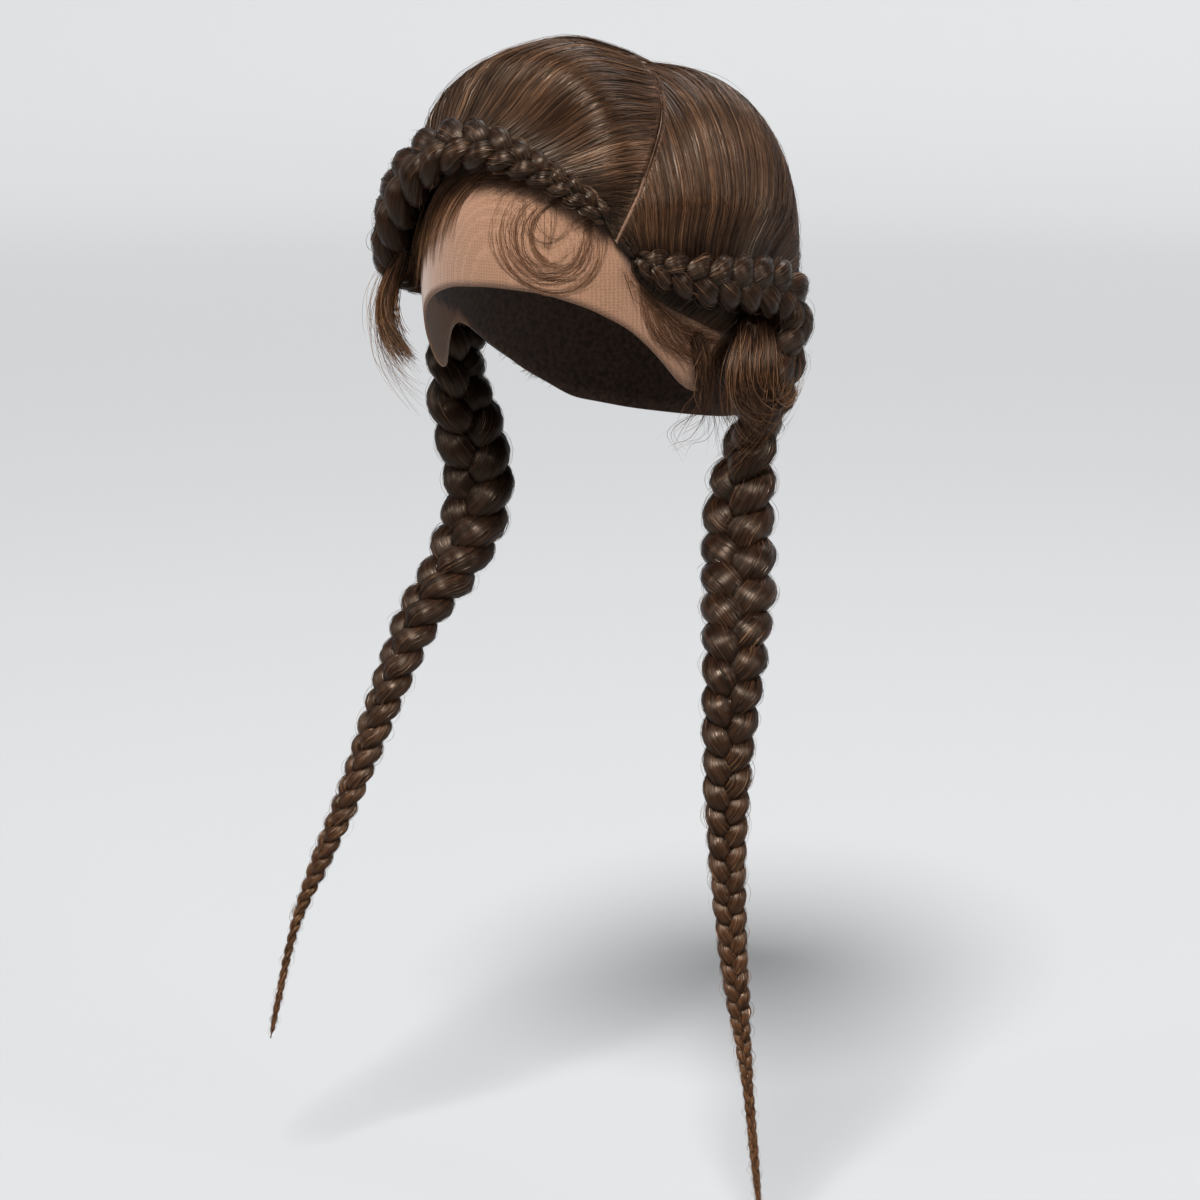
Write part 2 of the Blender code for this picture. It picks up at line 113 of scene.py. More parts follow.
LACE_EDGE = (
    (0, 2), (14, 1), (26, -3), (38, -10), (48, -20), (57, -30), (66, -34), (73, -28), (79, -22),
    (88, -22), (96, -27), (105, -32), (118, -39), (138, -46), (160, -47), (180, -47),
)

# share of the length, share of the plait's full width
ROW_WIDTHS = {
    1: ((0.0, 0.27), (0.12, 0.48), (0.28, 0.66), (0.60, 0.80), (1.0, 0.97)),
    -1: ((0.0, 0.27), (0.11, 0.37), (0.20, 0.54), (0.29, 0.76), (0.37, 0.88), (0.5, 0.93), (1.0, 0.97)),
}
TAIL_WIDTHS = (
    (0.0, 0.97), (0.28, 1.0), (0.38, 0.82), (0.50, 0.61), (0.62, 0.45), (0.74, 0.33),
    (0.80, 0.21), (0.86, 0.125), (0.95, 0.10), (1.0, 0.045),
)
# out, forward, down as shares of the tail's spread, reach and drop, and the outer face's bearing
TAIL_ROUTE = {
    1: (
        (0.66, -0.05, 0.145, 102), (0.605, -0.03, 0.195, 135),
        (0.60, 0.08, 0.265, 180), (0.66, 0.25, 0.313, 200),
        (0.72, 0.46, 0.358, 208), (0.77, 0.66, 0.408, 210),
        (0.80, 0.82, 0.490, 210), (0.82, 0.89, 0.593, 210),
        (0.86, 0.93, 0.711, 210), (0.93, 0.96, 0.848, 210), (1.0, 1.0, 1.0, 210),
    ),
    -1: (
        (0.65, -0.04, 0.162, 102), (0.59, -0.03, 0.225, 135),
        (0.535, 0.00, 0.310, 180), (0.565, 0.14, 0.385, 200),
        (0.63, 0.38, 0.460, 208), (0.69, 0.57, 0.560, 210),
        (0.77, 0.70, 0.671, 210), (0.865, 0.81, 0.769, 210),
        (0.945, 0.885, 0.857, 210), (1.0, 1.0, 1.0, 210),
    ),
}

# The loose locks: width and thickness; then bearing, rise, height in lock widths and share of the width
EAR_LOCK = (0.012, 0.007)
SIDEBURN = (0.008, 0.0024)
TEMPLE_LOCK = (0.009, 0.0045)
EAR_LOCK_ROUTE = (
    (82, -13, 0.74, 0.75), (79, -19, 0.90, 1.0), (76, -26, 0.95, 1.0),
    (76, -32, 0.95, 0.9), (79, -36, 1.05, 0.8), (83, -38, 1.35, 0.6),
)
SIDEBURN_ROUTE = (
    (61, -14, 0.27, 0.5), (63, -19, 0.33, 1.0), (65, -25, 0.33, 1.0),
    (67, -31, 0.33, 0.8), (68, -35, 0.30, 0.5), (69, -38, 0.28, 0.25),
)
TEMPLE_LOCK_ROUTE = (
    (-47, 2, 0.60, 0.5), (-47, -2, 1.2, 0.8), (-46, -7, 2.0, 1.0),
    (-46, -13, 2.2, 1.0), (-44, -19, 1.6, 0.8), (-42, -26, 0.9, 0.35),
)

# Guides for the fine loose hair: pixels of the photograph's 1200 by 1200 frame, laid onto the head
PHOTO_SIDE = 1200
SWIRL = (
    (
        (512, 184), (494, 212), (491, 246), (505, 274), (532, 291),
        (562, 296), (590, 284), (603, 256), (600, 224), (580, 206),
    ),
    (
        (546, 188), (514, 204), (503, 234), (511, 262), (530, 281),
        (558, 286), (584, 273), (593, 247), (582, 221), (558, 212),
    ),
    (
        (572, 198), (540, 202), (522, 220), (520, 246), (531, 267),
        (553, 274), (574, 262), (578, 240), (564, 224), (546, 226),
    ),
    (
        (592, 208), (570, 200), (548, 205), (534, 220), (532, 240),
        (542, 256), (558, 262), (572, 254), (577, 240), (570, 226),
    ),
)
STRAY_SWIRL = (
    ((500, 190), (486, 224), (484, 256), (506, 290), (548, 302), (590, 292)),
    ((530, 186), (528, 214), (538, 236), (560, 240), (574, 222), (566, 206)),
    ((576, 202), (580, 230), (566, 254), (540, 256), (530, 236), (540, 220)),
    ((604, 216), (606, 246), (596, 276), (572, 290), (540, 284), (520, 262)),
)
FOREHEAD_ARCS = (
    ((428, 196), (418, 206), (412, 222), (410, 240)),
    ((470, 178), (452, 180), (436, 192), (428, 212)),
    ((520, 180), (496, 176), (472, 182), (456, 200)),
    ((566, 192), (542, 182), (514, 188), (496, 206)),
    ((600, 212), (582, 200), (560, 202), (540, 214)),
    ((624, 240), (612, 228), (596, 230), (582, 244)),
)
HAIRLINE_ROOTS = (
    ((626, 262), (632, 276), (644, 290), (660, 300)),
    ((640, 284), (650, 300), (664, 314), (682, 320)),
    ((660, 306), (672, 322), (688, 332), (706, 334)),
    ((684, 322), (694, 336), (708, 344), (724, 344)),
)
TEMPLE_SWEEP = (
    ((640, 270), (641, 302), (652, 332), (676, 352), (706, 357)),
    ((652, 286), (655, 316), (669, 342), (692, 356), (714, 361)),
    ((668, 300), (671, 324), (684, 346), (702, 360), (718, 373)),
    ((690, 314), (693, 333), (701, 351), (711, 367), (717, 387)),
)
CHEEK_CURLS = (
    ((706, 352), (700, 376), (690, 398), (676, 414), (664, 426)),
    ((710, 362), (704, 390), (692, 414), (678, 432), (676, 456)),
    ((712, 372), (712, 402), (696, 436), (668, 446), (652, 468)),
    ((714, 380), (706, 410), (680, 420), (676, 444), (700, 470)),
)
NEAR_EAR = (
    ((708, 338), (702, 352), (698, 374), (702, 398), (708, 426)),
    ((724, 338), (713, 356), (708, 382), (711, 410), (714, 446)),
    ((738, 336), (727, 352), (721, 378), (724, 402), (720, 436)),
)

# Guides for the loose hair that hangs from under the plaits: bearing, rise, millimetres over the head
EAR_LOOP = (
    (
        (83, -9, 5), (73, -15, 12), (67, -21, 18), (65, -28, 21),
        (70, -35, 22), (83, -40, 22), (96, -39, 21), (103, -34, 20),
    ),
    (
        (84, -9, 5), (75, -15, 12), (69, -21, 18), (67, -28, 21),
        (72, -34, 22), (84, -38, 22), (95, -37, 21), (101, -32, 20),
    ),
    (
        (86, -9, 5), (78, -16, 12), (72, -21, 18), (70, -28, 22),
        (75, -33, 22), (85, -37, 22), (95, -35, 21), (99, -30, 20),
    ),
    (
        (90, -10, 6), (84, -17, 13), (79, -23, 19), (78, -28, 22),
        (82, -32, 23), (89, -34, 23), (96, -31, 22), (98, -27, 20),
    ),
    (
        (98, -11, 8), (99, -18, 15), (99, -25, 20), (99, -31, 22),
        (97, -36, 22), (92, -40, 21), (86, -42, 19), (81, -41, 17),
    ),
)
EAR_STRAYS = (
    ((78, -11, 6), (70, -17, 13), (65, -26, 19), (69, -35, 22), (82, -42, 22), (96, -41, 21), (104, -35, 20)),
    ((86, -10, 7), (80, -19, 16), (74, -27, 22), (78, -36, 24), (90, -39, 24), (98, -35, 23), (100, -29, 22)),
    ((92, -10, 8), (92, -20, 17), (90, -29, 23), (84, -36, 24), (76, -41, 22), (70, -46, 18), (68, -50, 14)),
    ((98, -12, 9), (101, -22, 18), (97, -32, 23), (88, -38, 24), (84, -45, 22), (86, -51, 18), (90, -54, 15)),
)
TEMPLE_LOOP = (
    ((-53, 8, 6), (-56, 1, 12), (-57, -6, 17), (-55, -12, 18), (-52, -17, 16), (-48, -21, 12), (-45, -23, 9)),
    (
        (-49, 11, 6), (-51, 4, 12), (-52, -3, 18), (-51, -10, 22),
        (-49, -16, 22), (-45, -21, 18), (-42, -24, 13),
    ),
    (
        (-45, 13, 5), (-46, 6, 10), (-47, -1, 15), (-47, -7, 18),
        (-45, -13, 18), (-42, -18, 15), (-40, -21, 11),
    ),
    ((-41, 15, 4), (-42, 8, 7), (-43, 1, 10), (-43, -5, 12), (-42, -10, 12), (-40, -14, 10), (-38, -16, 7)),
)
TEMPLE_STRAYS = (
    ((-50, 10, 7), (-53, 0, 15), (-52, -10, 23), (-48, -20, 23), (-43, -28, 17), (-39, -33, 10)),
    ((-44, 13, 6), (-47, 3, 14), (-47, -8, 21), (-44, -18, 21), (-40, -25, 15), (-37, -29, 9)),
    ((-40, 16, 5), (-42, 7, 10), (-43, -3, 15), (-41, -12, 17), (-38, -19, 13), (-35, -24, 8)),
)
FRINGE = (
    ((2, 33, 2.2), (-6, 31, 1.8), (-13, 25, 1.6), (-17, 17, 1.5), (-19, 10, 1.5)),
    ((-8, 31, 2.2), (-16, 28, 1.8), (-22, 21, 1.6), (-25, 13, 1.5), (-26, 6, 1.6)),
    ((-16, 30, 2.2), (-24, 26, 1.8), (-29, 18, 1.6), (-31, 10, 1.5), (-32, 3, 1.6)),
    ((-25, 27, 2.2), (-31, 21, 1.8), (-35, 13, 1.6), (-37, 5, 1.6), (-38, -1, 2.0)),
    ((-34, 22, 2.2), (-38, 15, 2.2), (-41, 8, 2.6), (-43, 0, 3.2), (-44, -6, 4.0)),
)
NAPE = (
    ((183, -37, 3.4), (176, -40, 2.6), (169, -43, 1.8), (162, -45, 1.3)),
    ((162, -37, 3.4), (154, -40, 2.6), (147, -42, 1.8), (140, -44, 1.3)),
    ((140, -33, 3.4), (132, -36, 2.6), (125, -39, 1.8), (119, -40, 1.3)),
    ((120, -27, 3.4), (113, -30, 2.6), (108, -32, 1.8), (104, -33, 1.3)),
)

CENTRE = np.array((0.0, 0.0, -CROWN_HEIGHT))


# Numbers and curves

def unit(v):
    return v / np.maximum(np.linalg.norm(v, axis=-1, keepdims=True), 1e-12)


def step(value):
    """0 below 0, 1 above 1, and a smooth rise between."""
    share = np.clip(value, 0.0, 1.0)
    return share * share * (3 - 2 * share)


def ease(value):
    """As step, with no change of curvature at its ends."""
    share = np.clip(value, 0.0, 1.0)
    return share**3 * (share * (6 * share - 15) + 10)


def value_noise(x, y, cells, seed):
    """Smooth noise of about -1 to 1 over two coordinates, with a grid of that many cells for 0 to 1."""
    grid = np.random.default_rng(seed).uniform(-1, 1, (cells[0] + 2, cells[1] + 2))
    px, py = np.mod(x, 1.0) * cells[0], np.mod(y, 1.0) * cells[1]
    i, j = px.astype(int), py.astype(int)
    a, b = step(px - i), step(py - j)
    top = grid[i, j] * (1 - a) + grid[i + 1, j] * a
    low = grid[i, j + 1] * (1 - a) + grid[i + 1, j + 1] * a
    return top * (1 - b) + low * b


def catmull(points, pieces):
    """A smooth curve through rows of numbers, with a number of pieces between each two."""
    p = np.asarray(points, float)
    p = np.vstack((2 * p[0] - p[1], p, 2 * p[-1] - p[-2]))
    t = (np.arange(pieces) / pieces)[None, :, None]
    a, b, c, d = (p[k : len(p) - 3 + k][:, None, :] for k in range(4))
    found = (2 * b + (c - a) * t + (2 * a - 5 * b + 4 * c - d) * t**2 + (3 * b - a - 3 * c + d) * t**3) / 2
    return np.vstack((found.reshape(-1, p.shape[1]), p[-2]))


def runs_of(points):
    return np.concatenate(([0.0], np.cumsum(np.linalg.norm(np.diff(points, axis=0), axis=1))))


def along(points, shares, values=None):
    """The points, or values given for each, at shares of a chain's length."""
    values = points if values is None else values
    runs = runs_of(points)
    return np.stack([np.interp(shares * runs[-1], runs, values[:, k]) for k in range(values.shape[1])], -1)


# The head

def way_of(bearing, rise):
    turn, lift = np.radians(bearing), np.radians(rise)
    return np.stack((np.sin(turn) * np.cos(lift), -np.cos(turn) * np.cos(lift), np.sin(lift)), -1)


def upright_of(way):
    above = way[..., 2] >= 0
    return np.where(above, CROWN_HEIGHT, JAW_DEPTH), np.where(above, CROWN_SQUARENESS, JAW_SQUARENESS)


def normal_of(way):
    height, power = upright_of(way)
    across, length = HEAD_WIDTH / 2, HEAD_LENGTH / 2
    flat = np.maximum(np.hypot(way[..., 0] / across, way[..., 1] / length), 1e-6) ** (power - 2)
    upward = np.sign(way[..., 2]) * np.abs(way[..., 2]) ** (power - 1) / height**power
    return unit(np.stack((way[..., 0] / across**2 * flat, way[..., 1] / length**2 * flat, upward), -1))


def on_head(way, out):
    height, power = upright_of(way)
    flat = np.hypot(way[..., 0] / (HEAD_WIDTH / 2), way[..., 1] / (HEAD_LENGTH / 2))
    reach = (flat**power + (np.abs(way[..., 2]) / height) ** power) ** (-1 / power)
    out = np.broadcast_to(np.asarray(out, float), way.shape[:-1])
    return CENTRE + way * reach[..., None] + normal_of(way) * out[..., None]


def slerp(a, b, t):
    angle = np.arccos(np.clip((a * b).sum(-1), -1, 1))[..., None]
    t = np.asarray(t, float)[..., None]
    safe = np.maximum(np.sin(angle), 1e-9)
    found = (np.sin((1 - t) * angle) * a + np.sin(t * angle) * b) / safe
    return unit(np.where(angle < 1e-5, a, found))


def line_ways(line, shares):
    """Ways at shares of the length of a line of bearings and rises on the head."""
    chain = unit(catmull(way_of(*np.array(line, float).T), 8))
    return unit(along(on_head(chain, 0.0), shares) - CENTRE)


# The photograph's frame

def view_axes():
    """The camera's place and its right, up and back directions."""
    turn, rise = math.radians(VIEW_TURN), math.radians(VIEW_RISE)
    back = np.array((math.sin(turn) * math.cos(rise), -math.cos(turn) * math.cos(rise), math.sin(rise)))
    right = np.array((math.cos(turn), math.sin(turn), 0.0))
    return np.array(VIEW_TARGET) + back * VIEW_DISTANCE, right, np.cross(back, right), back


def seen(pixels, out):
    """The places on the head, or beside it where it is missed, that the photograph shows at these pixels."""
    eye, right, up, back = view_axes()
    half = SENSOR / 2 / VIEW_LENS
    x = (pixels[..., 0] / PHOTO_SIDE * 2 - 1) * half
    y = (1 - pixels[..., 1] / PHOTO_SIDE * 2) * half
    ray = right * x[..., None] + up * y[..., None] - back
    reach = np.linspace(VIEW_DISTANCE - 0.16, VIEW_DISTANCE + 0.10, 260)
    places = eye + ray[..., None, :] * reach[:, None]
    way = unit(places - CENTRE)
    over = np.linalg.norm(places - CENTRE, axis=-1) - np.linalg.norm(on_head(way, 0.0) - CENTRE, axis=-1)
    inside = over < out
    first = np.where(inside.any(-1), inside.argmax(-1), over.argmin(-1))
    return np.take_along_axis(places, first[..., None, None], -2)[..., 0, :]


# Meshes

FINE = (0.00012, 0.00022)
THICK = (0.00020, 0.00040)
WISP_LIFT = 0.0006


def add_mesh(name, points, faces, look, uvs=None, tint=None, age=None, painted_shade=None):
    """A smooth object from points, faces, a coordinate for each corner of a face, tint, age and painted shade.
    """
    faces = np.asarray(faces, np.int32)
    sides = faces.shape[1]
    mesh = bpy.data.meshes.new(name)
    mesh.vertices.add(len(points))
    mesh.vertices.foreach_set("co", np.asarray(points, np.float32).ravel())
    mesh.loops.add(faces.size)
    mesh.loops.foreach_set("vertex_index", faces.ravel())
    mesh.polygons.add(len(faces))
    mesh.polygons.foreach_set("loop_start", np.arange(0, faces.size, sides, dtype=np.int32))
    mesh.polygons.foreach_set("loop_total", np.full(len(faces), sides, np.int32))
    mesh.polygons.foreach_set("use_smooth", np.ones(len(faces), bool))
    mesh.update(calc_edges=True)
    if uvs is not None:
        layer = mesh.uv_layers.new(name=FLOW)
        layer.data.foreach_set("uv", np.asarray(uvs, np.float32).ravel())
    # painted shade: 1 leaves the colour as it is
    painted_shade = np.ones(len(points)) if painted_shade is None else painted_shade
    for label, values in (("tint", tint), ("age", age), ("painted_shade", painted_shade)):
        if values is not None:
            layer = mesh.attributes.new(label, "FLOAT", "POINT")
            layer.data.foreach_set("value", np.asarray(values, np.float32))
    mesh.validate()
    mesh.materials.append(look)
    made = bpy.data.objects.new(name, mesh)
    bpy.context.scene.collection.objects.link(made)
    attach(made, "root")
    return made


def grid_faces(rows, columns, turn=False):
    """The corners of the squares of a grid of points, stored row by row."""
    i, j = np.meshgrid(np.arange(rows - 1), np.arange(columns - 1), indexing="ij")
    a = (i * columns + j).ravel()
    faces = np.stack((a, a + columns, a + columns + 1, a + 1), -1)
    return faces[:, ::-1] if turn else faces


def tube(rings, sides, around):
    """Faces between rings of points, and how far round and along each of their corners lies."""
    k, j = np.meshgrid(np.arange(rings - 1), np.arange(around), indexing="ij")
    here, after = k * sides + j, k * sides + (j + 1) % sides
    faces = np.stack((here, after, after + sides, here + sides), -1)
    turns, runs = np.stack((j, j + 1, j + 1, j), -1), np.stack((k, k, k + 1, k + 1), -1)
    return faces.reshape(-1, 4), turns.reshape(-1, 4), runs.reshape(-1, 4)


def strand_rings(paths, radii, ups, sides, tilt, rng):
    """Rings of points across each strand: a flat, tilted pair for two sides, a small polygon for more."""
    tangent = unit(np.gradient(paths, axis=1))
    across = unit(np.cross(tangent, ups))
    up = np.cross(across, tangent)
    if sides == 2:
        turn = rng.normal(0, tilt, (len(paths), 1, 1))
        across = across * np.cos(turn) + up * np.sin(turn)
        offsets = across[:, :, None] * np.array((1.0, -1.0))[:, None]
    else:
        angle = np.arange(sides) * math.tau / sides + math.pi / 2
        offsets = across[:, :, None] * np.cos(angle)[:, None] + up[:, :, None] * np.sin(angle)[:, None]
    return paths[:, :, None] + offsets * radii[:, :, None, None]


def add_strands(name, paths, width, ups, look, seed, age, sides=2, tilt=0.38, tint=None, painted_shade=None):
    """Many fine tapering strands as one piece: thin ribbons, or tubes where they hang free."""
    count, steps, _ = paths.shape
    rng = np.random.default_rng(seed)
    t = np.linspace(0, 1, steps)
    shape = np.clip(np.minimum(t / 0.12, (1 - t) / 0.35), 0.12, 1.0) ** 0.6
    radii = np.broadcast_to(np.asarray(width, float).reshape(-1, 1), (count, 1)) / 2 * shape
    points = strand_rings(paths, radii, ups, sides, tilt, rng)
    around = 1 if sides == 2 else sides
    square, turns, runs = tube(steps, sides, around)
    faces = (square + (np.arange(count) * steps * sides)[:, None, None]).reshape(-1, 4)
    corner = np.stack((turns / around, runs / steps), -1).reshape(1, -1, 2)
    wide = math.ceil(math.sqrt(count * 4))
    tall = math.ceil(count / wide)
    cell = np.stack((np.arange(count) % wide, np.arange(count) // wide), -1)[:, None]
    uvs = ((cell + corner * 0.8 + 0.1) / (wide, tall)).reshape(-1, 2)
    tint = rng.uniform(0, 1, count) if tint is None else tint
    tints = np.repeat(tint, steps * sides)
    age = np.asarray(age, float)
    age = age if age.ndim == 2 else age.reshape(-1, 1)
    ages = np.repeat(np.broadcast_to(age, (count, steps)).ravel(), sides)
    shades = None if painted_shade is None else np.repeat(painted_shade.ravel(), sides)
    points = points.reshape(-1, 3)
    return add_mesh(name, points, faces, look, uvs=uvs, tint=tints, age=ages, painted_shade=shades)


# Materials

HAIR_ROUGHNESS = (0.27, 0.66)
HAIR_ANISOTROPY = 0.78
HAIR_TINT = (1.0, 0.76, 0.57, 1)
TINT_LOTS = 0.11
NET_SCALE = 700.0
NET_HOLE = (0.255, 0.135, 0.079, 1)
NET_THREAD = ((0.3, (0.165, 0.080, 0.042)), (0.7, (0.205, 0.103, 0.055)))
NET_KNOTS = ((0.35, (0.030, 0.016, 0.010)), (0.65, (0.075, 0.040, 0.026)))


def new_tree(name):
    made = bpy.data.materials.new(name)
    made.use_nodes = True
    made.node_tree.nodes.clear()
    return made, made.node_tree


def add_node(tree, kind, inputs=None, output=0, **settings):
    """One output of a new node. Each input is a plain value or another node's output."""
    node = tree.nodes.new("ShaderNode" + kind)
    for label, value in settings.items():
        setattr(node, label, value)
    for label, value in (inputs or {}).items():
        if isinstance(value, bpy.types.NodeSocket):
            tree.links.new(value, node.inputs[label])
        else:
            node.inputs[label].default_value = value
    return node.outputs[output]


def paint(tree, inputs):
    """The surface shader with its inputs, joined to the material's output."""
    shader = add_node(tree, "BsdfPrincipled", inputs)
    tree.links.new(shader, tree.nodes.new("ShaderNodeOutputMaterial").inputs[0])


def attribute_of(tree, label):
    return add_node(tree, "Attribute", output="Fac", attribute_name=label)


def math_of(tree, operation, *numbers):
    return add_node(tree, "Math", dict(enumerate(numbers)), operation=operation)


def mix_of(tree, share, low, high, **settings):
    return add_node(tree, "Mix", {0: share, 6: low, 7: high}, output=2, data_type="RGBA", **settings)


def noise_of(tree, place, scale, detail=2.0, roughness=0.5):
    inputs = {"Vector": place, "Scale": scale, "Detail": detail, "Roughness": roughness}
    return add_node(tree, "TexNoise", inputs)


def ramp_of(tree, number, rows):
    ramp = tree.nodes.new("ShaderNodeValToRGB")
    for k, (place, colour) in enumerate(rows):
        element = ramp.color_ramp.elements[k] if k < 2 else ramp.color_ramp.elements.new(place)
        element.position = place
        element.color = (*colour, 1.0)
    tree.links.new(number, ramp.inputs[0])
    return ramp.outputs[0]


def paint_hair(tree, number, low, high, lot, shades, old_shades, gloss, **inputs):
    """Hair coloured by a number, lighter with age, darker with the mesh's painted shade, as dull as its lot
    says.
    """
    colour = mix_of(
        tree, attribute_of(tree, "age"), ramp_of(tree, number, shades), ramp_of(tree, number, old_shades),
    )
    dull, clear = HAIR_ROUGHNESS[1], HAIR_ROUGHNESS[0]
    spread = {"Value": lot, "From Min": low, "From Max": high, "To Min": dull, "To Max": clear}
    paint(tree, {
        # the colour multiplied by the painted shade
        "Base Color": mix_of(tree, 1.0, colour, attribute_of(tree, "painted_shade"), blend_type="MULTIPLY"),
        "Roughness": add_node(tree, "MapRange", spread),
        "Specular IOR Level": gloss,
        "Specular Tint": HAIR_TINT,
        "Anisotropic": HAIR_ANISOTROPY,
        "Tangent": add_node(tree, "Tangent", direction_type="UV_MAP", uv_map=FLOW),
        **inputs,
    })


def hair_look(name, shades, old_shades, gloss, streaks, bump):
    """Hair in a mass: streaks along the flow in colour, gloss and relief."""
    made, tree = new_tree(name)
    flow = add_node(tree, "UVMap", uv_map=FLOW)
    fine = add_node(tree, "Mapping", {"Vector": flow, "Scale": (*streaks, 1.0)})
    broad = add_node(tree, "Mapping", {"Vector": flow, "Scale": (streaks[0] / 7, streaks[1] / 3, 1.0)})
    grain = noise_of(tree, fine, 1.0, detail=4.0, roughness=0.65)
    clumps = noise_of(tree, broad, 1.0)
    both = math_of(tree, "MULTIPLY_ADD", clumps, 0.45, math_of(tree, "MULTIPLY", grain, 0.55))
    relief = add_node(tree, "Bump", {"Strength": bump, "Distance": 0.00009, "Height": both})
    paint_hair(tree, both, 0.38, 0.62, grain, shades, old_shades, gloss, Normal=relief)
    return made


def strand_look(name, shades, old_shades, gloss=0.3):
    """Single strands: each has its own shade and gloss."""
    made, tree = new_tree(name)
    tint = attribute_of(tree, "tint")
    lot = math_of(tree, "PINGPONG", tint, TINT_LOTS)
    spots = noise_of(tree, add_node(tree, "TexCoord", output="Object"), 90.0)
    number = math_of(tree, "ADD", tint, math_of(tree, "MULTIPLY_ADD", spots, 0.5, -0.25))
    paint_hair(tree, number, 0.0, TINT_LOTS, lot, shades, old_shades, gloss)
    return made


def lace_look(name):
    """Fine brown net: small holes in colour and relief, darker where hair is tied behind it."""
    made, tree = new_tree(name)
    place = add_node(tree, "TexCoord", output="Object")
    cells = {"Vector": place, "Scale": NET_SCALE, "Randomness": 0.35}
    edges = add_node(tree, "TexVoronoi", cells, feature="DISTANCE_TO_EDGE")
    thread = ramp_of(tree, edges, ((0.0, (1, 1, 1)), (0.22, (0, 0, 0))))
    skin = ramp_of(tree, noise_of(tree, place, 45.0, detail=3.0), NET_THREAD)
    knots = ramp_of(tree, noise_of(tree, place, 420.0), NET_KNOTS)
    bare = mix_of(tree, thread, skin, NET_HOLE)
    paint(tree, {
        "Base Color": mix_of(tree, attribute_of(tree, "age"), bare, knots),
        "Roughness": 0.8,
        "Sheen Weight": 0.25,
        "Sheen Roughness": 0.5,
        "Specular IOR Level": 0.25,
        "Normal": add_node(tree, "Bump", {"Strength": 0.35, "Distance": 0.0003, "Height": thread}),
    })
    return made


# The plaits' browns: a darker copy of the combed hair's, painted shade for the depth of the braid
PLAIT_SHADED_BROWN = (
    (0.32, (0.0014, 0.0005, 0.0003)), (0.43, (0.0048, 0.0018, 0.0009)),
    (0.55, (0.0150, 0.0062, 0.0031)), (0.72, (0.0600, 0.0265, 0.0135)),
)
CROWN_BROWN = (
    (0.32, (0.0055, 0.0021, 0.0011)), (0.43, (0.0180, 0.0076, 0.0039)),
    (0.55, (0.0480, 0.0218, 0.0114)), (0.72, (0.1350, 0.0670, 0.0360)),
)
WARM_BROWN = (
    (0.32, (0.0150, 0.0052, 0.0021)), (0.43, (0.0380, 0.0142, 0.0058)),
    (0.55, (0.0850, 0.0340, 0.0140)), (0.72, (0.1800, 0.0850, 0.0390)),
)
STRAND_BROWN = (
    (0.0, (0.0042, 0.0016, 0.0008)), (0.40, (0.0170, 0.0072, 0.0036)),
    (0.75, (0.0560, 0.0258, 0.0130)), (1.0, (0.1300, 0.0650, 0.0345)),
)
# The plaits' single hairs: darker than the combed strands in all but the brightest, painted shade for the
# depth of the braid
PLAIT_SHADED_STRAND = (
    (0.0, (0.0010, 0.0004, 0.0002)), (0.45, (0.0060, 0.0024, 0.0012)),
    (0.78, (0.0380, 0.0166, 0.0084)), (1.0, (0.1500, 0.0740, 0.0390)),
)
STRAND_WARM = (
    (0.0, (0.0220, 0.0085, 0.0034)), (0.40, (0.0600, 0.0250, 0.0100)),
    (0.75, (0.1350, 0.0620, 0.0260)), (1.0, (0.2600, 0.1400, 0.0680)),
)
FINE_BROWN = (
    (0.0, (0.0450, 0.0175, 0.0088)), (0.45, (0.0850, 0.0350, 0.0175)),
    (0.80, (0.1350, 0.0600, 0.0310)), (1.0, (0.2000, 0.0980, 0.0520)),
)
plait_hair = hair_look("plait_hair", PLAIT_SHADED_BROWN, WARM_BROWN, gloss=0.28, streaks=(330.0, 34.0), bump=1.0)
crown_hair = hair_look("crown_hair", CROWN_BROWN, WARM_BROWN, gloss=0.3, streaks=(560.0, 4.0), bump=0.6)
baby_hair = strand_look("baby_hair", FINE_BROWN, STRAND_WARM)
strand_hair = strand_look("strand_hair", STRAND_BROWN, STRAND_WARM)
woven_hair = strand_look("woven_hair", PLAIT_SHADED_STRAND, STRAND_WARM, gloss=0.34)
net = lace_look("net")


# The plaits

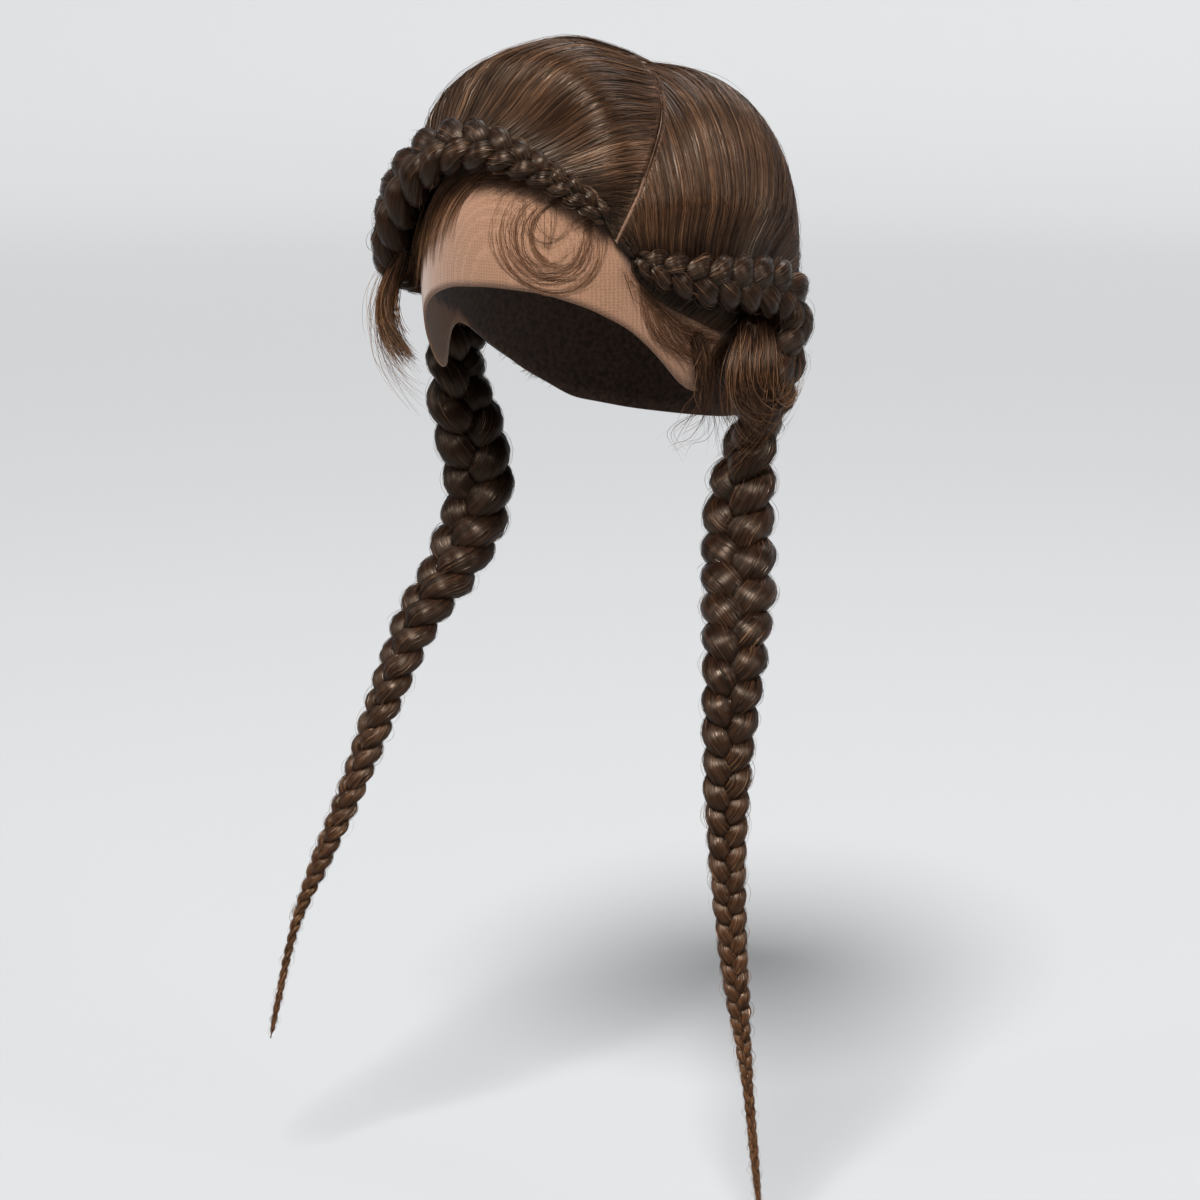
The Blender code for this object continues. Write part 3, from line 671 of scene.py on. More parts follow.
def plait_spine(side, samples=1400):
    """The plait's centre line, its outer face, width, depth, phase of the weave and share of the tail."""
    row = line_ways(PLAIT_ROW[side], np.linspace(0, 1, len(PLAIT_ROW[side]) * 3))
    shares = np.linspace(0, 1, len(row))
    table = np.array(ROW_WIDTHS[side])
    widths = PLAIT_WIDTH * np.interp(shares, table[:, 0], table[:, 1])
    points = on_head(row, SEAT + widths * ROW_FLATNESS / 2)
    facings = normal_of(row)
    row_length = runs_of(points)[-1]
    route = np.array(TAIL_ROUTE[side], float)
    tail = np.stack((
        side * route[:, 0] * TAIL_SPREAD[side],
        -route[:, 1] * TAIL_REACH[side],
        -CROWN_HEIGHT - route[:, 2] * TAIL_DROP[side],
    ), -1)
    points = catmull(np.vstack((points, tail)), 6)
    facings = catmull(np.vstack((facings, way_of(side * route[:, 3], 0 * route[:, 3]))), 6)
    length = runs_of(points)[-1]
    place = np.linspace(0, 1, samples)
    centre, facing = along(points, place), unit(along(points, place, facings))
    run = place * length
    tail_table = np.array(TAIL_WIDTHS)
    tail_share = np.clip((run - row_length) / (length - row_length), 0, 1)
    width = PLAIT_WIDTH * np.where(
        run < row_length,
        np.interp(run / row_length, table[:, 0], table[:, 1]),
        np.interp(tail_share, tail_table[:, 0], tail_table[:, 1]),
    )
    kernel = np.hanning(41)
    width = np.convolve(np.pad(width, 20, mode="edge"), kernel / kernel.sum(), "valid")
    off_head = step((run - row_length) / TAIL_START)
    depth = width * (ROW_FLATNESS + (TAIL_FLATNESS - ROW_FLATNESS) * off_head)
    rate = math.tau / 3 / (LOBE_LENGTH + LOBE_GROWTH * width)
    phase = np.concatenate(([0.0], np.cumsum((rate[1:] + rate[:-1]) / 2 * np.diff(run))))
    under = centre - facing * (SEAT + depth / 2)[:, None]
    return {
        "centre": centre, "facing": facing, "width": width, "depth": depth, "phase": phase,
        "tail": tail_share, "run": run, "under": under[:: samples // 140],
        "half": width[:: samples // 140] / 2,
    }


def spine_at(spine, phase):
    """The spine's frame at phases: centre, outward, across, along, width, depth and share of the tail."""
    table = np.column_stack((spine["centre"], spine["facing"], spine["width"], spine["depth"], spine["tail"]))
    found = np.stack([np.interp(phase, spine["phase"], table[:, k]) for k in range(table.shape[1])], -1)
    ahead = np.stack([np.interp(phase + 0.2, spine["phase"], table[:, k]) for k in range(3)], -1)
    behind = np.stack([np.interp(phase - 0.2, spine["phase"], table[:, k]) for k in range(3)], -1)
    forward = unit(ahead - behind)
    facing = found[..., 3:6]
    outward = unit(facing - forward * (facing * forward).sum(-1, keepdims=True))
    across = np.cross(forward, outward)
    return found[..., :3], outward, across, forward, found[..., 6], found[..., 7], found[..., 8]


def lock_path(spine, lock, phase, seed):
    """One lock's centre line, the plait's outward and across, its half sizes and its share of the tail."""
    centre, outward, across, _, width, depth, tail = spine_at(spine, phase)
    turn = phase + lock * math.tau / 3
    jitter = value_noise(turn / 60.0, turn * 0 + 0.3, (97, 3), seed + lock % 3)
    half_width = LOCK_HALF_WIDTH * width * (1 + 0.07 * jitter)
    half_depth = LOCK_HALF_DEPTH * depth * (1 - 0.05 * jitter)
    plump = 1 + LOCK_PLUMP * np.cos(2 * turn + math.pi)
    swing = (0.5 * width - half_width) * np.sin(turn)
    weave = (0.5 * depth - half_depth) * np.sin(2 * turn)
    path = centre + across * swing[..., None] + outward * weave[..., None]
    return path, outward, across, half_width * plump, half_depth * plump, tail


def lock_skin(spine, lock, phase, angle, seed, lift=0.0):
    """Places on a lock's furrowed skin and their outward ways, at angles round it and phases."""
    phase, angle = np.broadcast_arrays(phase, angle)
    path, outward, _, half_width, half_depth, tail = lock_path(spine, lock, phase, seed)
    ahead, behind = (lock_path(spine, lock, phase + part, seed)[0] for part in (0.05, -0.05))
    forward = unit(ahead - behind)
    across = unit(np.cross(forward, outward))
    up = np.cross(across, forward)
    end = spine["phase"][-1]
    closing = np.clip(np.minimum(phase / 1.2, (end - 0.3 - phase) / 2.5), 0.02, 1) ** 0.5
    twist = angle / math.tau + phase * 0.012
    furrow = 0.045 * value_noise(twist, phase / 55.0, (13, 70), seed + 10 + lock)
    furrow += 0.030 * value_noise(twist, phase / 55.0, (23, 90), seed + 20 + lock)
    cos, sin = np.cos(angle), np.sin(angle)
    x = np.sign(cos) * np.abs(cos) ** 0.92 * half_width * (1 + furrow) * closing + cos * lift
    y = np.sign(sin) * np.abs(sin) ** 0.92 * half_depth * (1 + furrow) * closing + sin * lift
    skin = path + across * x[..., None] + up * y[..., None]
    away = unit(across * (cos / half_width)[..., None] + up * (sin / half_depth)[..., None])
    return skin, away, tail, path


def lock_painted_shade(spine, lock, phase, skin, seed):
    """Painted shade in the crevices: 1 where a place on a lock lies clear of the other two, falling where they
    press against it.
    """
    clear = np.full(skin.shape[:-1], 9.0)
    for other in (1, 2):
        beside, outward, across, wide, deep, _ = lock_path(spine, lock + other, phase, seed)
        gap = skin - beside
        clear = np.minimum(clear, np.hypot((gap * across).sum(-1) / wide, (gap * outward).sum(-1) / deep))
    return clear, 0.16 + 0.84 * step((clear - 1.0) / 0.75)


def tail_age(tail):
    """How much lighter and warmer the hair is towards the tip of the tail."""
    return np.clip((tail - 0.40) / 0.55, 0, 1) ** 1.2


def add_plait(name, side, spine, seed):
    """Three fat locks, woven, with furrows along the hair, as one piece."""
    sides = 32
    per_lobe = 7
    last = spine["phase"][-1]
    phase = np.linspace(0.0, last - 0.3, int(last / (math.tau / 3) * per_lobe))
    angle = np.arange(sides) * math.tau / sides
    rings = len(phase)
    square, turns, runs = tube(rings, sides, sides)
    points, faces, uvs, ages, shades = [], [], [], [], []
    for lock in range(3):
        skin, _, tail, path = lock_skin(spine, lock, phase[:, None], angle, seed)
        run = runs_of(path[:, 0])
        share = run / run[-1]
        uvs.append(np.stack(((lock + 0.02 + 0.96 * turns / sides) / 3, share[runs]), -1))
        faces.append(square + lock * rings * sides)
        points.append(skin.reshape(-1, 3))
        ages.append(tail_age(tail).ravel())
        both, _ = np.broadcast_arrays(phase[:, None], angle)
        # painted shade where the other two locks press against this one
        shades.append(lock_painted_shade(spine, lock, both, skin, seed)[1].ravel())
    uvs, ages, shades = np.concatenate(uvs).reshape(-1, 2), np.concatenate(ages), np.concatenate(shades)
    points, faces = np.vstack(points), np.vstack(faces)
    made = add_mesh(name, points, faces, plait_hair, uvs=uvs, age=ages, painted_shade=shades)
    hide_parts(f"plait_{'left' if side > 0 else 'right'}")
    return made


def add_plait_strands(name, spine, count, seed, plait_seed, lift, width, span, tilt=0.38, age=0.05):
    """Single hairs that lie along the outer sides of the locks, where no other lock covers them."""
    rng = np.random.default_rng(seed)
    steps = 9
    last = spine["phase"][-1]
    t = np.linspace(0, 1, steps)
    paths, ups, ages, tints, shades = [], [], [], [], []
    for lock in range(3):
        tries = int(count * 0.8)
        phase = rng.uniform(0.2, last - 2.6, tries)[:, None] + rng.uniform(*span, tries)[:, None] * t
        turn = rng.uniform(0, math.tau, tries)
        angle = turn[:, None] + rng.normal(0, 0.12, tries)[:, None] * (t - 0.5)
        rise = rng.uniform(*lift, tries)[:, None] * np.sin(math.pi * t) + 0.00008
        skin, away, tail, path = lock_skin(spine, lock, phase, angle, plait_seed, rise)
        # painted shade in the crevices, carried onto the single hairs
        clear, painted_shade = lock_painted_shade(spine, lock, phase, skin, plait_seed)
        kept = np.flatnonzero(clear[:, 4] > 0.98)[: count // 3]
        paths.append(skin[kept])
        ups.append(away[kept])
        ages.append(tail_age(tail[kept, 0]))
        patches = value_noise(turn[kept] / math.tau, phase[kept, 0] / 60, (14, 60), seed + lock)
        tints.append(0.5 + 0.5 * patches)
        shades.append(painted_shade[kept])
    paths, ups, ages, tints, shades = (np.concatenate(each) for each in (paths, ups, ages, tints, shades))
    ages = np.clip(ages + rng.normal(age, 0.12, len(ages)), 0, 1)
    tints = 0.45 * tints + 0.55 * rng.uniform(0, 1, len(tints))
    widths = rng.uniform(*width, len(paths)) * np.clip(0.45 + 2.2 * (1 - ages), 0.45, 1)
    return add_strands(
        name, paths, widths, ups, woven_hair, seed, age=ages, tilt=tilt, tint=tints, painted_shade=shades,
    )


# The combed hair

def beside_plait(points, spine):
    """How far points of the scalp lie beside the strip that the plait covers."""
    flat = points.reshape(-1, 3)
    found = np.full(len(flat), 1e9)
    for under, half in zip(spine["under"], spine["half"]):
        found = np.minimum(found, np.linalg.norm(flat - under, axis=1) - half)
    return found.reshape(points.shape[:-1]) - 0.0012


def crown_surface(side, spine, v, u):
    """Ways and depths of the combed hair: v from front to nape, u from the parting to the plait."""
    start, end = line_ways(PARTING_LINE, v), line_ways(PLAIT_ROW[side], v)
    run = np.linalg.norm(on_head(start, 0.0) - on_head(end, 0.0), axis=-1)
    way = slerp(start, end, np.clip(PARTING[side] / run, 0, 0.2) * (1 - u) + u)
    gone = u * run
    rise = PARTING_SHARE + (1 - PARTING_SHARE) * step(gone / PARTING_RISE)
    rise = rise * step((gone + 0.0035) / 0.007)
    rise = rise * ease(beside_plait(on_head(way, 0.0), spine) / PLAIT_RISE[side]) * step((1 - v) / NAPE_SHARE)
    return way, TIGHT_DEPTH + (HAIR_DEPTH[side] - TIGHT_DEPTH) * rise


def side_surface(side, spine, v, u):
    """The same for the hair below the plait: u from the plait to the hairline."""
    row_share = SIDE_FROM[side] + (SIDE_TO - SIDE_FROM[side]) * v
    start, end = line_ways(PLAIT_ROW[side], row_share), line_ways(HAIRLINE[side], v)
    run = np.linalg.norm(on_head(start, 0.0) - on_head(end, 0.0), axis=-1)
    way = slerp(start, end, u)
    from_plait = step(beside_plait(on_head(way, 0.0), spine) / PLAIT_RISE[1])
    from_edge = step((1 - u) * run / HAIR_EDGE_RISE)
    depth = TIGHT_DEPTH * (0.45 + 0.55 * from_edge) + (SIDE_DEPTH - TIGHT_DEPTH) * from_plait * from_edge
    return way, depth


def row_painted_shade(way, spine):
    """Painted shade: darker hair right beside the plait, where it turns in under it."""
    return 0.30 + 0.70 * step((beside_plait(on_head(way, 0.0), spine) + 0.002) / 0.014)


def add_sheet(name, surface, side, spine, size, seed, replaces):
    """A sheet of combed hair with locks and furrows along its flow, turned down to the net at its edges."""
    rows, columns = size
    v, u = np.meshgrid(np.linspace(0, 1, rows), np.linspace(0, 1, columns), indexing="ij")
    vf, uf = v.ravel(), u.ravel()
    way, depth = surface(side, spine, vf, uf)
    waver = vf + 0.006 * value_noise(vf, uf, (14, 3), seed)
    relief = 0.00035 * value_noise(waver, uf, (34, 3), seed + 1)
    relief += 0.00028 * value_noise(waver, uf, (101, 4), seed + 2)
    relief += 0.00022 * value_noise(waver, uf, (231, 5), seed + 3)
    relief *= np.clip(depth / 0.006, 0.25, 1)
    out = LACE_WALL + np.maximum(depth + relief, 0.0006)
    edge = (uf <= 0) | (uf >= 1) | (vf <= 0) | (vf >= 1)
    out = np.where(edge, LACE_WALL + 0.0002, out)
    points = on_head(way, out)
    faces = grid_faces(rows, columns, turn=side < 0)
    corner = np.stack((vf, uf), -1)[faces.ravel()]
    age = np.clip(0.10 + 0.12 * value_noise(vf, uf, (9, 4), seed + 5), 0, 1)
    # painted shade beside the plait
    painted_shade = row_painted_shade(way, spine)
    made = add_mesh(name, points, faces, crown_hair, uvs=corner, age=age, painted_shade=painted_shade)
    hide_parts(replaces)
    return made


def add_flow_strands(name, surface, side, spine, count, seed, lift, width, age=0.08, tilt=0.38):
    """Single hairs that follow the combed hair from start to end."""
    rng = np.random.default_rng(seed)
    steps = 11
    t = np.linspace(0, 1, steps)
    v = rng.uniform(0.003, 0.997, count)
    start = np.clip(rng.uniform(-0.25, 0.60, count), 0.0, 1)
    end = np.clip(start + rng.uniform(0.35, 1.0, count), 0, 1.0)
    u = start[:, None] + (end - start)[:, None] * t
    drift = rng.normal(0, 0.006, count)[:, None] * (t - 0.5) + v[:, None]
    way, depth = surface(side, spine, np.clip(drift, 0, 1).ravel(), u.ravel())
    height = (rng.uniform(*lift, count)[:, None] + 0.0003 * np.sin(math.pi * t)).ravel()
    points = on_head(way, LACE_WALL + np.maximum(depth + height, 0.0003)).reshape(count, steps, 3)
    ups = normal_of(way).reshape(count, steps, 3)
    clump = 0.5 + 0.5 * value_noise(v, start * 0 + 0.5, (90, 2), seed + 7)
    tint = 0.35 * clump + 0.65 * rng.uniform(0, 1, count)
    ages = np.clip(rng.normal(age, 0.12, count) + 0.25 * value_noise(v, start, (11, 3), seed + 8), 0, 1)
    widths = rng.uniform(*width, count)
    # painted shade beside the plait, as on the sheets
    painted_shade = row_painted_shade(way, spine).reshape(count, steps)
    return add_strands(
        name, points, widths, ups, strand_hair, seed, age=ages, tilt=tilt, tint=tint, painted_shade=painted_shade,
    )


# Loose hair

def add_tress(name, route, size, count, seed, replaces, curl=0.0, age=0.5, spread=1.0, core_share=0.6):
    """A loose lock: a dark core, painted shade inside the lock, and many strands round it, which part and curl
    towards its end.
    """
    width, depth = size
    table = np.array(route, float)
    ways = way_of(table[:, 0], table[:, 1])
    centre = catmull(on_head(ways, table[:, 2] * width), 8)
    outward = unit(catmull(normal_of(ways), 8))
    share = catmull(np.column_stack((table[:, 3], table[:, 3])), 8)[:, 0]
    steps = 17
    t = np.linspace(0, 1, steps)
    centre, outward = along(centre, t), unit(along(centre, t, outward))
    share = np.interp(t, np.linspace(0, 1, len(share)), share)
    forward = unit(np.gradient(centre, axis=0))
    across = unit(np.cross(forward, outward))
    rng = np.random.default_rng(seed)
    angle, radius = rng.uniform(0, math.tau, count), np.sqrt(rng.uniform(0.25, 1, count))
    s = t * rng.uniform(0.62, 1.0, (count, 1))
    middle, away, ahead = (
        along(centre, s.ravel(), values).reshape(count, steps, 3) for values in (centre, outward, forward)
    )
    beside = np.cross(ahead, away)
    half = np.interp(s, t, share) / 2
    swirl = angle[:, None] + rng.normal(0, 0.5, (count, 1)) * s + 0.8 * s
    open_up = radius[:, None] * (1 + spread * rng.uniform(-0.2, 0.7, (count, 1)) * s**2)
    clump = rng.integers(0, 9, count)
    beat = (rng.uniform(0, math.tau, 9)[clump] + rng.normal(0, 0.4, count))[:, None]
    wave = 0.0009 * np.sin(beat + s * rng.uniform(7, 13, 9)[clump][:, None])
    turn = curl * np.clip((s - 0.5) / 0.5, 0, 1) ** 1.5 * rng.uniform(0.2, 1.4, (count, 1))
    paths = middle + beside * (np.cos(swirl) * open_up * half * width + wave + turn)[..., None]
    paths = paths + away * (np.sin(swirl) * open_up * half * depth)[..., None]
    paths = paths - ahead * (np.abs(turn) * 0.35)[..., None]
    ages = np.clip(rng.normal(0, 0.15, (count, 1)) + age * (0.3 + 0.9 * t), 0, 1)
    widths = rng.uniform(0.00022, 0.00045, count)
    add_strands(f"{name}_strands", paths, widths, away, strand_hair, seed, age=ages, tilt=0.9)
    sides = 20
    a = np.arange(sides) * math.tau / sides
    body = np.clip(np.minimum(t / 0.1, (1 - t) / 0.35), 0.03, 1) ** 0.7 * share * core_share
    round_share, length_share = np.tile(a / math.tau, (steps, 1)), np.tile(t[:, None], (1, sides))
    furrow = 1 + 0.12 * value_noise(round_share, length_share, (9, 5), seed)
    ring = across[:, None] * (np.cos(a) * furrow * (body * width / 2)[:, None])[..., None]
    ring = ring + outward[:, None] * (np.sin(a) * furrow * (body * depth / 2)[:, None])[..., None]
    points = (centre[:, None] + ring).reshape(-1, 3)
    faces, turns, runs = tube(steps, sides, sides)
    run = t * runs_of(centre)[-1]
    uvs = np.stack((turns / sides, run[runs]), -1).reshape(-1, 2)
    ages = np.full(len(points), age * 0.4)
    # the core: dark plait browns at a low age, painted shade inside the lock
    core = add_mesh(f"{name}_core", points, faces, plait_hair, uvs=uvs, age=ages)
    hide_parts(replaces)


def strands_between(guides, count, rng, loose, shorten, clumps):
    """Rows of numbers along strands that run between guide lines, gathered in that many clumps."""
    lines = np.stack([catmull(line, 6) for line in np.array(guides, float)])
    steps = 15
    t = np.linspace(0, 1, steps)
    last = lines.shape[1] - 1.001
    member = rng.integers(0, clumps, count)
    place = np.sort(rng.uniform(0, len(lines) - 1.001, clumps))[member]
    place = np.clip(place + rng.normal(0, 0.07, count), 0, len(lines) - 1.001)
    first = place.astype(int)
    blend = (place - first)[:, None, None]
    start = rng.uniform(0, shorten * 0.5, count)
    end = 1 - rng.uniform(0, shorten, clumps)[member] * rng.uniform(0.6, 1, count)
    at = (start[:, None] + (end - start)[:, None] * t) * last
    low = at.astype(int)
    part = (at - low)[..., None]

    def on_guide(which):
        return lines[which[:, None], low] * (1 - part) + lines[which[:, None], low + 1] * part

    found = on_guide(first) * (1 - blend) + on_guide(first + 1) * blend
    size = (1, lines.shape[2])
    swing = rng.uniform(0, math.tau, (clumps, *size))[member]
    swing = swing + rng.uniform(4, 9, (clumps, *size))[member] * t[:, None]
    found = found + rng.normal(0, 1, (clumps, *size))[member] * loose * (0.5 + t[:, None])
    found = found + rng.normal(0, 0.5, (count, *size)) * loose * (0.4 + 1.6 * t[:, None] ** 2)
    found = found + np.sin(swing + rng.normal(0, 0.5, (count, *size))) * loose * 0.45
    return found, t, rng.normal(0, 0.25, clumps)[member]


def add_wisps(name, guides, count, seed, out, age, loose, shorten, clumps):
    """Fine hairs between guide lines of the photograph, laid on the head."""
    rng = np.random.default_rng(seed)
    pixels, t, older = strands_between(guides, count, rng, loose, shorten, clumps)
    lift = np.abs(rng.normal(0, 1, (count, 1))) * np.sin(math.pi * np.clip(t, 0.05, 0.95))
    height = out + WISP_LIFT * lift
    paths = np.stack([seen(pixels[:, k], height[:, k : k + 1]) for k in range(len(t))], 1)
    lay_strands(name, paths, rng, seed, FINE, (age, age), older, 2)


def add_locks(name, guides, count, seed, ages, loose, shorten, clumps, width, sides):
    """Strands between guide lines over the head, which hang free of it, darker at their roots: their own tone,
    and for the ear loop painted shade under the plait as well.
    """
    rng = np.random.default_rng(seed)
    rows, _, older = strands_between(guides, count, rng, loose, shorten, clumps)
    paths = on_head(way_of(rows[..., 0], rows[..., 1]), np.maximum(rows[..., 2], 1.2) / 1000)
    lay_strands(name, paths, rng, seed, width, ages, older, sides)


def lay_strands(name, paths, rng, seed, width, ages, older, sides):
    """Smoothed strands: fine ones are baby hair, thick ones are as dark as the wig's long hair."""
    count, steps, _ = paths.shape
    paths[:, 1:-1] = (paths[:, :-2] + 2 * paths[:, 1:-1] + paths[:, 2:]) / 4
    tipward = step((np.linspace(0, 1, steps) - 0.15) / 0.7)
    root_age, tip_age = (ages[0] + older)[:, None], (ages[1] + older)[:, None]
    ages = np.clip(root_age + (tip_age - root_age) * tipward + rng.normal(0, 0.12, (count, 1)), 0, 1)
    widths, ups = rng.uniform(*width, count), unit(paths - CENTRE)
    look = baby_hair if width == FINE else strand_hair
    add_strands(name, paths, widths, ups, look, seed, age=ages, sides=sides, tilt=0.7)


def add_parting():
    """The strip of net that shows along the parting, between the two sides of the combed hair."""
    v = np.linspace(0, 1, 220)
    ways = line_ways(PARTING_LINE, v)
    edges = []
    for side in (1, -1):
        way, depth = crown_surface(side, spines[side], v, np.zeros_like(v))
        edges.append(on_head(way, LACE_WALL + depth))
    spread = edges[0] - edges[1]
    middle = (edges[0] + edges[1]) / 2 - normal_of(ways) * 0.0003
    across = unit(spread) * (np.linalg.norm(spread, axis=-1, keepdims=True) / 2 + 0.0006)
    drop = normal_of(ways) * 0.0012
    left, right = middle + across, middle - across
    points = np.concatenate((left - drop, left, right, right - drop))
    rows = len(v)
    k = np.arange(rows - 1)
    starts = [(a * rows + k, (a + 1) % 4 * rows + k) for a in range(4)]
    faces = np.vstack([np.stack((low, low + 1, high + 1, high), -1) for low, high in starts])
    add_mesh("parting_strip", points, faces[:, ::-1], net, age=np.full(len(points), 0.3))


# The net

def add_lace():
    """The net cap, thin, darker where hair lies over it."""
    edge = np.array(LACE_EDGE, float)
    table = np.vstack((edge, (360 - edge[-2:0:-1, 0]).reshape(-1, 1) @ np.array([[1.0, 0.0]])))
    table[len(edge) :, 1] = edge[-2:0:-1, 1]
    bearings = np.linspace(0, 360, 181)[:-1]
    rises = np.interp(bearings, np.append(table[:, 0], 360), np.append(table[:, 1], table[0, 1]))
    kernel = np.hanning(9)
    rises = np.convolve(np.concatenate((rises[-4:], rises, rises[:4])), kernel / kernel.sum(), "valid")
    foot = way_of(bearings, rises)
    shares = np.linspace(0.004, 1, LACE_EDGE_ROWS + 1)
    top = np.broadcast_to(np.array((0.0, 0.0, 1.0)), foot.shape)
    ways = slerp(np.repeat(top, len(shares), 0), np.repeat(foot, len(shares), 0), np.tile(shares, len(foot)))
    columns = len(shares)
    outer, inner = on_head(ways, LACE_WALL), on_head(ways, 0.0001)
    count = len(outer)
    k, j = np.meshgrid(np.arange(len(foot)), np.arange(columns - 1), indexing="ij")
    after = (k + 1) % len(foot)
    here, beside = k * columns + j, after * columns + j
    a = np.stack((here, here + 1, beside + 1, beside), -1).reshape(-1, 4)
    rim = np.arange(len(foot)) * columns + columns - 1
    rim_next = np.roll(rim, -1)
    hem = np.stack((rim, rim + count, rim_next + count, rim_next), -1)
    faces = np.vstack((a, a[:, ::-1] + count, hem))
    covered = covered_by_hair(ways)
    made = add_mesh("net_cap", np.vstack((outer, inner)), faces, net, age=np.tile(covered, 2))
    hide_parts("lace_cap")


def covered_by_hair(ways):
    """1 where combed hair lies over the net, 0 on the bare forehead and temples, soft between."""
    bearing = np.degrees(np.arctan2(ways[:, 0], -ways[:, 1]))
    rise = np.degrees(np.arcsin(np.clip(ways[:, 2], -1, 1)))
    left = np.array(((33, 16), *HAIRLINE[1], (100, -34), (118, -43), (140, -50), (180, -51)), float)
    right = np.array(((180, -51), (140, -50), (118, -43), (100, -34)), float)
    right = np.vstack((right * (-1, 1), np.array(HAIRLINE[-1][::-1], float)))
    front = np.array(((-17, 28), (-6, 29), (5, 28), (15, 25), (24, 21), (30, 17)), float)
    line = np.vstack((right, front, left))
    edge = np.interp(bearing, line[:, 0], line[:, 1])
    return step((rise - edge + 1.0) / 2.0)


# Build

# name, guides, strands, seed, metres over the head, age, looseness, how much is cut short, clumps
WISPS = (
    ("forehead_swirl", SWIRL, 110, 800, 0.0014, 0.15, 2.2, 0.4, 34),
    ("forehead_stray", STRAY_SWIRL, 40, 805, 0.0018, 0.2, 3.0, 0.4, 24),
    ("forehead_arcs", FOREHEAD_ARCS, 850, 820, 0.0012, 0.05, 4.0, 0.8, 140),
    ("hairline_roots", HAIRLINE_ROOTS, 420, 825, 0.0014, 0.05, 3.6, 0.8, 90),
    ("temple_sweep", TEMPLE_SWEEP, 150, 830, 0.0014, 0.2, 3.4, 0.5, 46),
    ("cheek_curls", CHEEK_CURLS, 36, 840, 0.0020, 0.3, 4.5, 0.5, 16),
    ("near_ear", NEAR_EAR, 150, 850, 0.0034, 0.5, 5.0, 0.9, 60),
)
# name, guides, strands, seed, age at root and tip, looseness, how much is cut short, clumps, width, sides
LOCKS = (
    ("forehead_fringe", FRINGE, 560, 810, (0.2, 0.7), 0.9, 0.4, 64, FINE, 2),
    # the ear loop's dark roots are partly painted shade under the plait
    ("ear_loop", EAR_LOOP, 560, 860, (-0.2, 0.8), 1.3, 0.15, 44, THICK, 3),
    ("ear_strays", EAR_STRAYS, 140, 865, (0.2, 1.0), 2.4, 0.2, 60, FINE, 3),
    ("temple_loop", TEMPLE_LOOP, 340, 870, (0.0, 1.0), 1.3, 0.2, 34, THICK, 3),
    ("temple_strays", TEMPLE_STRAYS, 90, 875, (0.2, 1.0), 2.2, 0.4, 40, FINE, 3),
)

spines = {side: plait_spine(side) for side in (1, -1)}
add_lace()
share = 1.0
for side, label in ((1, "left"), (-1, "right")):
    spine, plait_seed = spines[side], {1: 0, -1: 50}[side]
    size = (int(430 * math.sqrt(share)), 56)
    add_sheet(f"combed_{label}", crown_surface, side, spine, size, 100 + side, f"crown_hair_{label}")
    size = (int(160 * math.sqrt(share)), 20)
    add_sheet(f"swept_{label}", side_surface, side, spine, size, 200 + side, f"side_hair_{label}")
    add_flow_strands(
        f"combed_strands_{label}", crown_surface, side, spine, int(4200 * share), 300 + side,
        lift=(-0.0002, 0.0006), width=(0.00020, 0.00040),
    )
    add_flow_strands(
        f"swept_strands_{label}", side_surface, side, spine, int(1300 * share), 400 + side,
        lift=(-0.0002, 0.0006), width=(0.00020, 0.00040),
    )
    add_flow_strands(
        f"flyaways_{label}", crown_surface, side, spine, int(110 * share), 500 + side,
        lift=(0.0003, 0.0022), width=(0.00014, 0.00024), age=0.3, tilt=1.5,
    )
    add_plait(f"woven_{label}", side, spine, plait_seed)
    add_plait_strands(
        f"woven_strands_{label}", spine, int(7200 * share), 600 + side, plait_seed,
        lift=(0.0, 0.0005), width=(0.00018, 0.00036), span=(0.7, 1.6),
    )
    add_plait_strands(
        f"woven_flyaways_{label}", spine, int(1500 * share), 650 + side, plait_seed,
        lift=(0.0004, 0.0026), width=(0.00012, 0.00022), span=(0.9, 2.4), tilt=1.5, age=0.25,
    )
add_parting()
add_tress(
    "ear_lock", EAR_LOCK_ROUTE, EAR_LOCK, int(300 * share), 700, "ear_lock_left",
    curl=0.010, age=0.4, core_share=0.85,
)
add_tress(
    "sideburn", SIDEBURN_ROUTE, SIDEBURN, int(200 * share), 710, "sideburn_left",
    curl=0.003, age=0.4, spread=2.4, core_share=0.18,
)
add_tress(
    "temple_lock", TEMPLE_LOCK_ROUTE, TEMPLE_LOCK, int(260 * share), 720, "temple_lock_right",
    curl=-0.005, age=0.9, spread=2.4, core_share=0.15,
)
for name, guides, count, *rest in WISPS:
    add_wisps(name, guides, int(count * share), *rest)
for name, guides, count, *rest in LOCKS:
    add_locks(name, guides, int(count * share), *rest)
for side, label in ((1, "left"), (-1, "right")):
    guides = np.array(NAPE) * (side, 1, 1)
    add_locks(f"nape_{label}", guides, int(260 * share), 880 + side, (0.0, 0.2), 0.8, 0.7, 90, THICK, 2)


# Floor, light and camera

FLOOR_REACH = 3.4
BEND = 1.2
WALL_TOP = 3.2
FLOOR_COLOUR = (0.300, 0.304, 0.309, 1)
SKY_COLOUR = (1.0, 0.985, 0.97, 1)
SKY_STRENGTH = 0.10
LAMP_CENTRE = (0.0, 0.0, -0.2)
# bearing, rise, power; then for the soft lamps also their distance, width and height
KEY = (14, 56, 6.6)
KEY_SPREAD = 20
SOFT_LAMPS = (
    ("fill", 85, 30, 18, 2.0, 0.6, 0.7),
    ("left_fill", -50, 32, 14, 2.0, 0.6, 0.7),
    ("rim", 190, 55, 13, 1.8, 1.0, 0.6),
)


